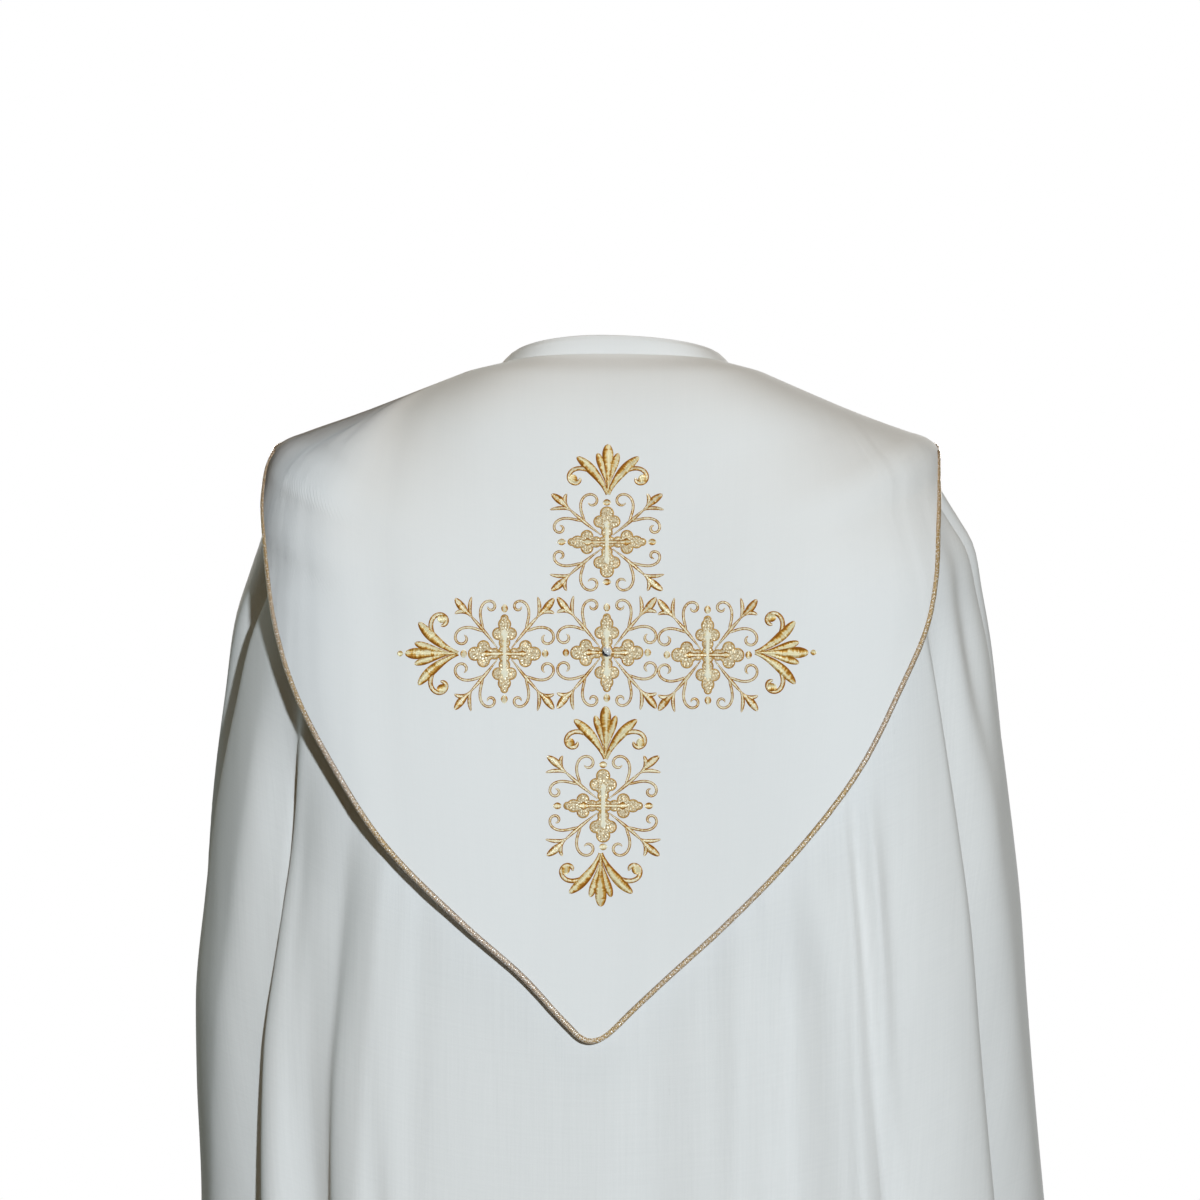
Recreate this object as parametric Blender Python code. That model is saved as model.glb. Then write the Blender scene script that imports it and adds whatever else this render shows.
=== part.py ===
"""A liturgical cope: a floor-length open cloak with a shield-shaped hood, hollow as it is when worn.

Frame: metres, +Z up. The origin is the middle of the neck opening, level with the neck seam at the back.
The wearer faces +Y, so the back with its hood faces -Y, and +X is the wearer's right.

The worn cloak is a hull with valleys pressed into it. The hull follows four outlines (back, front, left and
right) that all measure the same length of cloth from the neck seam to the hem. Angles run round the neck's
axis: 0 is the middle of the back, +90 the right side, 180 the front.
"""

import math
from collections import namedtuple

import bmesh
import bpy
import numpy as np

# ---------------------------------------------------------------- driving sizes, in metres and degrees
CLOTH_LENGTH = 1.46  # neck seam to hem, along the cloth
WALL = 0.0020  # the cloak's cloth
HOOD_WALL = 0.0025  # two layers and an interlining
SEAM_GAP = 0.0003  # between neighbouring pieces
SIDE_SEAM = 104.0  # degrees from the back, forward of the shoulder's crest
FRONT_GAP_NECK = 0.028  # half the front opening at the neck, and at the hem
FRONT_GAP_HEM = 0.045
FLATTER_BACK = 0.50  # how much squarer than an ellipse a section is behind, and in front
FLATTER_FRONT = 0.25
MID_LEVEL = 0.65  # cloth length from the neck to the level of the FOLDS table's middle columns
FOLD_EASE = 0.12  # length over which a valley fades in, and over which the ridge beside it leans in
LEAN_EASE = 0.30
LEAN_WIDTH = 0.6  # half the width of the part that leans, as a share of the valley's half width
RIDGE_DROP = 0.30  # a ridge that leans over a valley drops by its sideways reach squared over this

BAND_HEIGHT = 0.0145  # at the back and the front, and over the shoulders
BAND_SIDE_HEIGHT = 0.0085
BAND_LEAN = 0.003  # how far its top leans in, likewise
BAND_SIDE_LEAN = 0.009
BAND_WALL = 0.0025

PIPING_RADIUS = 0.0020
HOOD_END = 0.070  # how far the hood reaches down the front edges
HOOD_STAND_OFF = 0.018  # how far its stiff sides stand away from the cloak
HOOD_CLEARANCE = 0.0042  # over the shoulders
HOOD_TIP_GAP = 0.003
HOOD_HANGS_FROM = 0.10  # the cloth length at which it leaves the shoulders

MORSE_WIDTH = 0.120  # the cloth tab that holds the fronts together
MORSE_HEIGHT = 0.055
MORSE_WALL = 0.0030
MORSE_LEVEL = 0.150  # cloth length from the neck to its upper edge

CRYSTAL_RADIUS = 0.0040
CRYSTAL_HEIGHT = 0.0030
CRYSTAL_ACROSS = 0.005  # from the middle plane, and down from the neck seam
CRYSTAL_DOWN = 0.222

ROWS = 19  # mesh rows from neck to hem
ROW_GROWTH = 1.5  # rows are closer together over the shoulders
FLANK_COLUMNS = (1.0, 0.68, 0.34)  # columns on each side of a valley, as shares of its half width
FLAT_COLUMNS = 2  # and from there to the middle of the ridge beside it
EVEN_LENGTH = 0.16  # cloth length over which columns pass from even spacing to following the valleys
HOOD_ROWS = 11
HOOD_ROW_GROWTH = 1.2
HOOD_BACK_COLUMNS = 24  # each side of the point, up to the shoulder
HOOD_FRONT_COLUMNS = 8  # each side, forward of the shoulder
PIPING_SIDES = 6
BAND_COLUMNS = 60

# Each outline: out from the neck's axis, down from the back neck seam.
OUTLINES = {
    "back": (
        (0.076, 0.000),
        (0.098, 0.020),
        (0.117, 0.050),
        (0.132, 0.100),
        (0.143, 0.160),
        (0.152, 0.230),
        (0.160, 0.300),
        (0.173, 0.400),
        (0.187, 0.500),
        (0.206, 0.630),
        (0.245, 0.850),
        (0.295, 1.120),
        (0.350, 1.450),
    ),
    "front": (
        (0.074, 0.058),
        (0.104, 0.080),
        (0.132, 0.120),
        (0.150, 0.180),
        (0.160, 0.260),
        (0.168, 0.360),
        (0.185, 0.600),
        (0.225, 0.950),
        (0.270, 1.250),
        (0.310, 1.560),
    ),
    "left": (
        (0.077, 0.005),
        (0.127, 0.024),
        (0.182, 0.045),
        (0.2260, 0.0605),
        (0.2420, 0.0670),
        (0.2500, 0.0750),
        (0.2535, 0.0870),
        (0.2575, 0.1040),
        (0.2610, 0.1300),
        (0.270, 0.158),
        (0.282, 0.196),
        (0.290, 0.254),
        (0.300, 0.332),
        (0.307, 0.409),
        (0.313, 0.487),
        (0.312, 0.545),
        (0.308, 0.643),
        (0.330, 0.880),
        (0.370, 1.150),
        (0.418, 1.450),
    ),
    "right": (
        (0.100, 0.004),
        (0.150, 0.026),
        (0.198, 0.046),
        (0.2370, 0.0602),
        (0.2500, 0.0645),
        (0.2560, 0.0700),
        (0.2580, 0.0800),
        (0.2600, 0.0900),
        (0.2665, 0.1020),
        (0.277, 0.119),
        (0.289, 0.140),
        (0.296, 0.176),
        (0.303, 0.215),
        (0.308, 0.254),
        (0.317, 0.332),
        (0.325, 0.409),
        (0.330, 0.487),
        (0.336, 0.565),
        (0.343, 0.643),
        (0.364, 0.880),
        (0.398, 1.150),
        (0.438, 1.450),
    ),
}

# Valleys between the cloak's ridges. Lengths along the cloth and depths in metres, angles in degrees.
# overlap is how far the ridge beside the valley leans over it, as a share of its half width: + towards the
# right, - towards the left. spread is how much wider one flank is above the hem: + the right, - the left.
Fold = namedtuple(
    "Fold",
    "name start start_angle mid_angle hem_angle mid_half hem_half mid_depth hem_depth overlap spread",
)
FOLDS = (
    Fold("left arm", 0.18, -66, -88, -88, 7.5, 11, 0.024, 0.085, -0.25, 0.0),
    Fold("left overlap", 0.30, -52, -55.0, -67, 4.2, 12, 0.021, 0.090, -0.50, -2.2),
    Fold("left back", 0.36, -39, -41.0, -46, 6.0, 12, 0.017, 0.095, -0.22, -0.7),
    Fold("left inner", 0.37, -30, -31.2, -24, 3.5, 11, 0.005, 0.095, -0.15, 0.0),
    Fold("centre", 0.42, 8, 6.0, -2, 7.0, 11, 0.006, 0.085, 0.0, 0.0),
    Fold("right inner", 0.40, 26, 25.5, 22, 9.5, 11, 0.025, 0.095, 0.0, 0.0),
    Fold("right back", 0.34, 37, 37.8, 45, 3.5, 12, 0.009, 0.100, 0.30, 0.0),
    Fold("right overlap", 0.22, 57, 60.5, 67, 4.2, 12, 0.022, 0.090, 0.50, 2.6),
    Fold("right arm", 0.13, 76, 90, 90, 7.0, 11, 0.020, 0.085, 0.30, 0.0),
    Fold("right side", 0.45, 120, 121, 118, 8.0, 11, 0.022, 0.085, 0.0, 0.0),
    Fold("right chest", 0.24, 136, 141, 139, 7.0, 10, 0.022, 0.080, 0.0, 0.0),
    Fold("right front", 0.20, 156, 159, 159, 5.5, 9, 0.018, 0.070, 0.0, 0.0),
    Fold("left side", 0.40, -122, -121, -120, 8.0, 11, 0.024, 0.085, 0.0, 0.0),
    Fold("left chest", 0.27, -139, -140, -141, 7.0, 10, 0.020, 0.080, 0.0, 0.0),
    Fold("left front", 0.21, -155, -158, -160, 5.5, 9, 0.019, 0.070, 0.0, 0.0),
)

# The hood's outline from behind, from its point up to the shoulders: down from the neck seam, and how
# far it reaches to the left and to the right.
HOOD_OUTLINE = (
    (0.5025, 0.007, -0.007),
    (0.5008, 0.012, -0.001),
    (0.4965, 0.016, 0.005),
    (0.4820, 0.030, 0.020),
    (0.4570, 0.053, 0.047),
    (0.4180, 0.097, 0.090),
    (0.3600, 0.155, 0.146),
    (0.3050, 0.192, 0.188),
    (0.2500, 0.222, 0.217),
    (0.2000, 0.239, 0.240),
    (0.1650, 0.2460, 0.2475),
    (0.1300, 0.2515, 0.2510),
    (0.1050, 0.2540, 0.2540),
    (0.0850, 0.2540, 0.2565),
    (0.0700, 0.2475, 0.2580),
)


# ---------------------------------------------------------------- curves and the hull
def smooth(xs, ys, x):
    """The monotone cubic curve through the points (xs, ys), at x, and straight on past its ends."""
    xs, ys = np.asarray(xs, float), np.asarray(ys, float)
    step = np.diff(xs)
    rise = np.diff(ys) / step
    slope = np.concatenate([rise[:1], (rise[:-1] + rise[1:]) / 2, rise[-1:]])
    slope[1:-1][rise[:-1] * rise[1:] <= 0] = 0.0
    x = np.asarray(x, float)
    k = np.clip(np.searchsorted(xs, x) - 1, 0, len(xs) - 2)
    t = np.clip((x - xs[k]) / step[k], 0, 1)
    inside = (
        ys[k] * (1 + 2 * t) * (1 - t) ** 2
        + slope[k] * step[k] * t * (1 - t) ** 2
        + ys[k + 1] * t * t * (3 - 2 * t)
        + slope[k + 1] * step[k] * t * t * (t - 1)
    )
    past = np.where(x > xs[-1], (x - xs[-1]) * slope[-1], 0) + np.where(
        x < xs[0], (x - xs[0]) * slope[0], 0
    )
    return inside + past


def unit(v):
    return v / np.linalg.norm(v, axis=-1, keepdims=True)


def ease(t):
    """0 below 0, 1 above 1, and smooth between."""
    t = np.clip(t, 0, 1)
    return t * t * (3 - 2 * t)


def by_cloth_length(rows):
    """An outline as (length along the cloth, out, down), finely divided."""
    out, down = np.array(rows, float).T
    chord = np.concatenate([[0], np.cumsum(np.hypot(np.diff(out), np.diff(down)))])
    fine = np.linspace(0, chord[-1], 600)
    out, down = smooth(chord, out, fine), smooth(chord, down, fine)
    length = np.concatenate([[0], np.cumsum(np.hypot(np.diff(out), np.diff(down)))])
    return length, out, down


LINES = {name: by_cloth_length(rows) for name, rows in OUTLINES.items()}


def outline(name, s):
    """(out, down) on an outline at the cloth length s."""
    length, out, down = LINES[name]
    return np.interp(s, length, out), np.interp(s, length, down)


def hull(angle, s):
    """The smooth form that the cloak's ridges touch, at an angle round the neck and a cloth length."""
    angle, s = np.broadcast_arrays(np.asarray(angle, float), np.asarray(s, float))
    a = np.radians(angle)
    side_out, side_down = (
        np.where(a >= 0, right, left)
        for right, left in zip(outline("right", s), outline("left", s))
    )
    middle_out, middle_down = (
        np.where(np.cos(a) >= 0, back, front)
        for back, front in zip(outline("back", s), outline("front", s))
    )
    flatter = np.where(np.cos(a) >= 0, FLATTER_BACK, FLATTER_FRONT)
    sideways = np.sin(a) ** 2
    x = side_out * np.sin(a)
    y = -middle_out * np.cos(a) * (1 + flatter * sideways)
    z = -(middle_down + (side_down - middle_down) * sideways)
    return np.stack([x, y, z], axis=-1)


def hull_directions(angle, s):
    """Unit vectors on the hull: outward, along the hem towards larger angles, and down the cloth."""
    d_angle, d_s = 0.2, 0.002
    round_it = hull(angle + d_angle, s) - hull(angle - d_angle, s)
    down_it = hull(angle, s + d_s) - hull(angle, np.maximum(s - d_s, 0))
    return unit(np.cross(round_it, -down_it)), unit(round_it), unit(down_it)


def valley(fold, s):
    """At the cloth length s: a fold's middle angle, the width of each flank in degrees, and its depth."""
    levels = [fold.start, MID_LEVEL, CLOTH_LENGTH]
    s = np.maximum(s, fold.start)
    middle = smooth(levels, [fold.start_angle, fold.mid_angle, fold.hem_angle], s)
    half = smooth(levels, [fold.mid_half * 0.7, fold.mid_half, fold.hem_half], s)
    depth = smooth(levels, [fold.mid_depth * 0.6, fold.mid_depth, fold.hem_depth], s)
    wider = half * abs(fold.spread) * (1 - ease((s - MID_LEVEL) / (CLOTH_LENGTH - MID_LEVEL)))
    left = half + wider * (fold.spread < 0)
    right = half + wider * (fold.spread > 0)
    return middle, left, right, depth * ease((s - fold.start) / FOLD_EASE)


def bump(t):
    """1 at 0, and nothing beyond -1 and 1."""
    return np.cos(np.clip(np.abs(t), 0, 1) * math.pi / 2) ** 2


def cloak(angle, s):
    """The cloak's outer surface: the hull with every valley pressed into it."""
    angle, s = np.broadcast_arrays(np.asarray(angle, float), np.asarray(s, float))
    form = hull(angle, s)
    inward, sideways = np.zeros(s.shape), np.zeros(s.shape)
    for fold in FOLDS:
        middle, left, right, depth = valley(fold, s)
        half = np.where(angle < middle, left, right)
        across = (angle - middle) / half
        inward += depth * bump(across)
        reach = fold.overlap * np.radians(half) * np.linalg.norm(form[..., :2], axis=-1)
        ridge = bump(across / LEAN_WIDTH + math.copysign(1, fold.overlap))
        sideways += reach * ridge * ease((s - fold.start) / LEAN_EASE)
    inward += sideways**2 / RIDGE_DROP
    outward, round_it, _ = hull_directions(angle, s)
    return form - outward * inward[..., None] + round_it * sideways[..., None]


def columns(first, last, s):
    """The angles of a panel's mesh columns, a row for each s: even at the neck, then along the valleys."""
    low, high = np.min(first), np.max(last)
    folds = sorted((f for f in FOLDS if low < f.mid_angle < high), key=lambda f: f.mid_angle)
    lines = [valley(f, s)[:3] for f in folds]
    ridges = [first]
    for before, after in zip(lines, lines[1:]):
        ridges.append((before[0] + before[2] + after[0] - after[1]) / 2)
    ridges.append(last)
    placed = [first]
    for (middle, left, right), before, after in zip(lines, ridges, ridges[1:]):
        to_left = np.minimum(left, 0.85 * (middle - before))
        to_right = np.minimum(right, 0.85 * (after - middle))
        flats = np.arange(1, FLAT_COLUMNS + 1) / FLAT_COLUMNS
        placed += [before + (middle - to_left - before) * share for share in flats[:-1]]
        placed += [middle - to_left * share for share in FLANK_COLUMNS]
        placed += [middle] + [middle + to_right * share for share in reversed(FLANK_COLUMNS)]
        placed += [middle + to_right + (after - middle - to_right) * share for share in flats]
    following = np.concatenate([np.broadcast_to(line, s.shape) for line in placed], axis=1)
    even = first + (last - first) * np.linspace(0, 1, following.shape[1])
    return even + (following - even) * ease(s / EVEN_LENGTH)


def cloak_outward(angle, s):
    """Unit vectors square to the cloak's folded surface."""
    d_angle, d_s = 1.2, 0.004
    round_it = cloak(angle + d_angle, s) - cloak(angle - d_angle, s)
    down_it = cloak(angle, s + d_s) - cloak(angle, np.maximum(s - d_s, 0))
    return unit(np.cross(round_it, -down_it))


def front_edge_angle(s):
    """The angle of the cloak's front edge, from the half width of the front opening."""
    half_gap = FRONT_GAP_NECK + (FRONT_GAP_HEM - FRONT_GAP_NECK) * s / CLOTH_LENGTH
    side_out = (outline("left", s)[0] + outline("right", s)[0]) / 2
    return 180 - np.degrees(np.arcsin(half_gap / side_out))


# ---------------------------------------------------------------- the hood
def hood_offset(angle, s):
    """How far the hood's outer face lies outside the hull."""
    a = np.radians(angle)
    hangs = ease((s - HOOD_HANGS_FROM) / 0.14) * ease(2.5 * np.cos(a))
    stands = HOOD_STAND_OFF * np.sin(2 * a) ** 2
    clear = HOOD_CLEARANCE * ease((s + 0.005) / 0.035)
    return SEAM_GAP + HOOD_WALL + clear + (stands + HOOD_TIP_GAP) * hangs


def hood_surface(angle, s):
    outward, _, _ = hull_directions(angle, s)
    return hull(angle, s) + outward * hood_offset(angle, s)[..., None]


def halve(low, high, is_below):
    """Between low and high, the values at which is_below stops being true."""
    for _ in range(26):
        middle = (low + high) / 2
        below = is_below(middle)
        low, high = np.where(below, middle, low), np.where(below, high, middle)
    return (low + high) / 2


def level_at(angle, down):
    """The cloth lengths at which the hood's surface lies that far below the neck seam."""
    start = np.zeros(down.shape)
    return halve(start, start + CLOTH_LENGTH, lambda s: -hood_surface(angle, s)[..., 2] < down)


def on_hood(down, across):
    """(angle, cloth length) of the hood's points at those depths and distances from the middle plane."""
    down, across = np.broadcast_arrays(np.asarray(down, float), np.asarray(across, float))
    edge = np.full(down.shape, 90.0)
    angle = halve(-edge, edge, lambda a: hood_surface(a, level_at(a, down))[..., 0] < across)
    return angle, level_at(angle, down)


def hood_edge():
    """(angle, cloth length) along the hood's free edge, from the left front edge round to the right one."""
    down, left, right = np.array(HOOD_OUTLINE, float).T
    run = np.concatenate([[0], np.cumsum(np.hypot(np.diff(down), np.diff(right)))])
    # Columns crowd towards the point of the shield, which is round.
    stops = run[-1] * np.linspace(0, 1, HOOD_BACK_COLUMNS + 1) ** 1.25
    down, left, right = (smooth(run, line, stops) for line in (down, left, right))
    halves = []
    for side, reach in ((-1, -left[1:]), (1, right)):
        angle, s = on_hood(down[-len(reach) :], reach)
        t = np.arange(1, HOOD_FRONT_COLUMNS + 1) / HOOD_FRONT_COLUMNS
        over = angle[-1] + (side * front_edge_angle(HOOD_END) - angle[-1]) * t
        forward = s[-1] + (HOOD_END - s[-1]) * ease(t)
        halves.append(np.stack([np.append(angle, over), np.append(s, forward)], axis=1))
    return np.concatenate([halves[0][::-1], halves[1]])


# ---------------------------------------------------------------- meshes
def add_object(name, points, faces, material):
    mesh = bpy.data.meshes.new(name)
    mesh.from_pydata([tuple(p) for p in points], [], faces)
    mesh.update()
    mesh.materials.append(material)
    mesh.shade_smooth()
    mesh.set_sharp_from_angle(angle=math.radians(50))
    obj = bpy.data.objects.new(name, mesh)
    bpy.context.scene.collection.objects.link(obj)
    return obj


def sheet_of_cloth(name, outer, inner, material):
    """A closed wall between two matching grids, indexed [row][column], of its outer and inner face."""
    rows, columns = outer.shape[:2]
    count = rows * columns
    index = np.arange(count).reshape(rows, columns)
    faces = []
    for r in range(rows - 1):
        for c in range(columns - 1):
            a, b, far, d = index[r, c], index[r + 1, c], index[r + 1, c + 1], index[r, c + 1]
            for half in ((a, b, far), (a, far, d)):
                faces.append(half)
                faces.append(tuple(count + k for k in reversed(half)))
    rim = np.concatenate([index[0, :-1], index[:-1, -1], index[-1, :0:-1], index[:0:-1, 0]])
    for k, follows in zip(rim, np.roll(rim, -1)):
        faces.append((k, follows, count + follows, count + k))
    return add_object(name, np.concatenate([outer.reshape(-1, 3), inner.reshape(-1, 3)]), faces, material)


def swept(name, sections, material):
    """A closed bar through matching closed sections: sections[i][k] is a point."""
    count, sides = sections.shape[:2]
    faces = [
        (
            i * sides + k,
            i * sides + (k + 1) % sides,
            (i + 1) * sides + (k + 1) % sides,
            (i + 1) * sides + k,
        )
        for i in range(count - 1)
        for k in range(sides)
    ]
    faces.append(tuple(reversed(range(sides))))
    faces.append(tuple(range((count - 1) * sides, count * sides)))
    obj = add_object(name, sections.reshape(-1, 3), faces, material)
    mesh = bmesh.new()
    mesh.from_mesh(obj.data)
    bmesh.ops.recalc_face_normals(mesh, faces=mesh.faces)
    mesh.to_mesh(obj.data)
    mesh.free()
    return obj


def material(name, colour, roughness, metallic=0.0):
    made = bpy.data.materials.new(name)
    made.use_nodes = True
    shader = made.node_tree.nodes["Principled BSDF"]
    shader.inputs["Base Color"].default_value = (*colour, 1.0)
    shader.inputs["Roughness"].default_value = roughness
    shader.inputs["Metallic"].default_value = metallic
    return made


# ---------------------------------------------------------------- the pieces
def row_levels():
    return CLOTH_LENGTH * (np.arange(ROWS + 1) / ROWS) ** ROW_GROWTH


def half_seam_gap(s):
    """Half the gap at a side seam, in degrees round the neck's axis."""
    return np.degrees(SEAM_GAP * 0.7 / outline("left", s)[0])


def make_panel(name, first, last, s, cloth):
    """A panel of the cloak between two angles."""
    angles = columns(first, last, s)
    outer = cloak(angles, s)
    return sheet_of_cloth(name, outer, outer - cloak_outward(angles, s) * WALL, cloth)


def make_cloak(cloth):
    s = row_levels()[:, None]
    seam, gap, edge = SIDE_SEAM, half_seam_gap(s), front_edge_angle(s)
    make_panel("back_panel", gap - seam, seam - gap, s, cloth)
    make_panel("front_right", seam + gap, edge, s, cloth)
    make_panel("front_left", -edge, -seam - gap, s, cloth)


def make_hood(edge, cloth):
    share = np.linspace(0, 1, HOOD_ROWS + 1)[:, None]
    angles = neck_to_edge(edge[None, :, 0], share)
    levels = edge[None, :, 1] * share**HOOD_ROW_GROWTH
    outer = hood_surface(angles, levels)
    return sheet_of_cloth("hood", outer, outer - hull_directions(angles, levels)[0] * HOOD_WALL, cloth)


def neck_to_edge(edge_angles, share):
    """A hood column's angle at that share of its length: even at the neck, on the outline at the edge."""
    count = edge_angles.shape[-1]
    end = np.abs(edge_angles).max()
    neck_end = front_edge_angle(0.0)
    even = np.linspace(-neck_end, neck_end, count)[None, :]
    at_neck = 0.5 * even + 0.5 * edge_angles * neck_end / end
    return at_neck + (edge_angles - at_neck) * ease(share * 1.2)


def make_piping(edge, cord):
    rim = hood_surface(edge[:, 0], edge[:, 1])
    outward, _, _ = hull_directions(edge[:, 0], edge[:, 1])
    along = unit(np.gradient(rim, axis=0))
    beyond = unit(np.cross(along, outward))
    centre = rim + beyond * (PIPING_RADIUS + SEAM_GAP) - outward * (HOOD_WALL - PIPING_RADIUS)
    turn = np.arange(PIPING_SIDES) * 2 * math.pi / PIPING_SIDES
    around = (
        outward[:, None] * np.cos(turn)[None, :, None]
        + beyond[:, None] * np.sin(turn)[None, :, None]
    )
    return swept("hood_piping", centre[:, None] + around * PIPING_RADIUS, cord)


def make_neck_band(cloth):
    end = front_edge_angle(0.0)
    angles = np.linspace(-end, end, BAND_COLUMNS + 1)
    s = np.zeros(len(angles))
    rim = hull(angles, s)
    outward, _, down = hull_directions(angles, s)
    sideways = np.sin(np.radians(angles))[:, None] ** 2
    up = np.array([0, 0, 1.0]) * (BAND_HEIGHT + (BAND_SIDE_HEIGHT - BAND_HEIGHT) * sideways)
    lean = BAND_LEAN + (BAND_SIDE_LEAN - BAND_LEAN) * sideways
    inward = unit(-rim * np.array([1, 1, 0]))
    foot = rim - outward * WALL - down * SEAM_GAP
    bend = rim + outward * (HOOD_WALL + SEAM_GAP) - down * SEAM_GAP
    top = bend + up + inward * lean
    sections = np.stack(
        [
            foot,
            bend,
            top,
            top + inward * BAND_WALL,
            bend - down * BAND_WALL,
            foot - down * BAND_WALL,
        ],
        axis=1,
    )
    return swept("neck_band", sections, cloth)


def make_morse(cloth):
    """The tab that holds the fronts together lies on both of them and spans the opening."""
    levels = MORSE_LEVEL + MORSE_HEIGHT * np.linspace(0, 1, 5)[:, None]
    side_out = (outline("left", levels)[0] + outline("right", levels)[0]) / 2
    half = np.degrees(np.arcsin(MORSE_WIDTH / 2 / side_out))
    angles = 180 + half * np.linspace(-1, 1, 13)[None, :]
    wrapped = np.where(angles > 180, angles - 360, angles)
    outward, _, _ = hull_directions(wrapped, levels)
    inner = hull(wrapped, levels) + outward * SEAM_GAP
    return sheet_of_cloth("morse", inner + outward * MORSE_WALL, inner, cloth)


def make_crystal(stone):
    """A cut stone: a round, flat-backed crown with eight sides, seated on the hood."""
    angle, s = on_hood(CRYSTAL_DOWN, CRYSTAL_ACROSS)
    seat = hood_surface(angle, s)
    normal, right, _ = hull_directions(angle, s)
    up = np.cross(normal, right)
    turn = np.arange(8) * math.pi / 4
    rings = []
    for height, share in ((0, 1.0), (0.35, 1.0), (1.0, 0.55)):
        ring = (
            right * np.cos(turn)[:, None] + up * np.sin(turn)[:, None]
        ) * CRYSTAL_RADIUS * share
        rings.append(seat + normal * (SEAM_GAP + height * CRYSTAL_HEIGHT) + ring)
    return swept("crystal", np.array(rings), stone)


def clear_scene():
    for obj in list(bpy.data.objects):
        bpy.data.objects.remove(obj, do_unlink=True)


def main():
    clear_scene()
    ivory = material("ivory_cloth", (0.84, 0.85, 0.81), 0.75)
    hood_ivory = material("hood_cloth", (0.86, 0.87, 0.83), 0.70)
    gold = material("gold_cord", (0.72, 0.56, 0.30), 0.38, 0.8)
    clear = material("crystal", (0.92, 0.95, 1.0), 0.05)
    make_cloak(ivory)
    make_neck_band(ivory)
    edge = hood_edge()
    make_hood(edge, hood_ivory)
    make_piping(edge, gold)
    make_morse(ivory)
    make_crystal(clear)


main()
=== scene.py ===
"""The looks of a worn liturgical cope: folded cloth, a corded hood with a gold cross, and a clasp tab.

Frame: metres, +Z up. The origin is the middle of the neck opening, level with the neck seam at the back.
The wearer faces +Y, the back with its hood faces -Y, and +X is the wearer's right.
"""

import math
from collections import namedtuple

import bpy
import numpy as np
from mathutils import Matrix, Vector


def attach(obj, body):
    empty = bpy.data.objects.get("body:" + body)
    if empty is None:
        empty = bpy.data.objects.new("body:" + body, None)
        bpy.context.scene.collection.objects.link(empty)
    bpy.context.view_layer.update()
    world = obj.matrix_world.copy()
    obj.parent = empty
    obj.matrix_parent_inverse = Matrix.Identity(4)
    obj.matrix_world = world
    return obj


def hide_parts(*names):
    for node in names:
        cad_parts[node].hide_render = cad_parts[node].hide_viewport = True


# ---- sizes, in metres and degrees, as in the solids
CLOTH_LENGTH = 1.46  # neck seam to hem, along the cloth
SEAM_GAP = 0.0003
SIDE_SEAM = 104.0
FRONT_GAP_NECK = 0.028
FRONT_GAP_HEM = 0.045
FLATTER_BACK = 0.50
FLATTER_FRONT = 0.25
MID_LEVEL = 0.65
FOLD_EASE = 0.12
LEAN_EASE = 0.30
LEAN_WIDTH = 0.6
RIDGE_DROP = 0.30
BAND_HEIGHT = 0.0145
BAND_SIDE_HEIGHT = 0.0085
BAND_LEAN = 0.003
BAND_SIDE_LEAN = 0.009
BAND_WALL = 0.0025
HOOD_WALL = 0.0025
PIPING_RADIUS = 0.0020
HOOD_END = 0.070
HOOD_STAND_OFF = 0.018
HOOD_CLEARANCE = 0.0042
HOOD_TIP_GAP = 0.003
HOOD_HANGS_FROM = 0.10
HOOD_BACK_COLUMNS = 110
HOOD_FRONT_COLUMNS = 30
MORSE_WIDTH = 0.120
MORSE_HEIGHT = 0.055
MORSE_WALL = 0.0030
MORSE_LEVEL = 0.150
CRYSTAL_RADIUS = 0.0040
CRYSTAL_HEIGHT = 0.0030
CRYSTAL_ACROSS = 0.005
CRYSTAL_DOWN = 0.222

# ---- sizes of the visible cloth
CLOTH = 0.0012  # thickness of the cloak, and of the hood with its interlining
HOOD_CLOTH = 0.0020
HEM_DEPTH = 0.030  # the turned hem, where the cloth is double
HEM_STEP = 0.0004
BACK_COLUMNS = 300
FRONT_COLUMNS = 130
CLOTH_ROWS = 150
HOOD_ROWS = 90
HOOD_ROUND = 0.22  # the hood's radius, as it is taken for the width of its dents
CREASE_BENDS = 0.3  # the cloth length over which a small crease turns to its lower angle
CREASE_FADES = 0.12  # and over which it starts or ends
PIPING_STEP = 0.0022
PIPING_SIDES = 14
BAND_BULGE = 0.0006
MORSE_CORNER = 0.010
MORSE_EDGE = 0.0014  # thickness at its edge
MORSE_INSET = 0.0005  # how far the cloth tab ends inside the solid one
MORSE_GRID = (81, 41)
MORSE_PAD_RISE = 0.004
MORSE_CHANNEL = (0.0005, 0.0045, 0.0009)  # the sewn channel's depth, place from the edge, and half width
HOOD_CROWDING = 1.2
BAND_COLUMNS = 360
SEAM_HALF = 0.0001  # half the gap between two panels
HEM_SLOPE = 0.002  # the cloth length of the hem's step
HEM_ROWS = (-0.0005, 0.0015, 0.003)  # places of the rows at the hem's step
ROW_CROWDING = 1.15  # the rows crowd towards the neck
EDGE_CROWDING = 1.25
OUTLINE_POINTS = 600
HALVINGS = 26


def table(kind, *rows):
    """Rows with named columns."""
    return [kind(*row) for row in rows]


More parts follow.
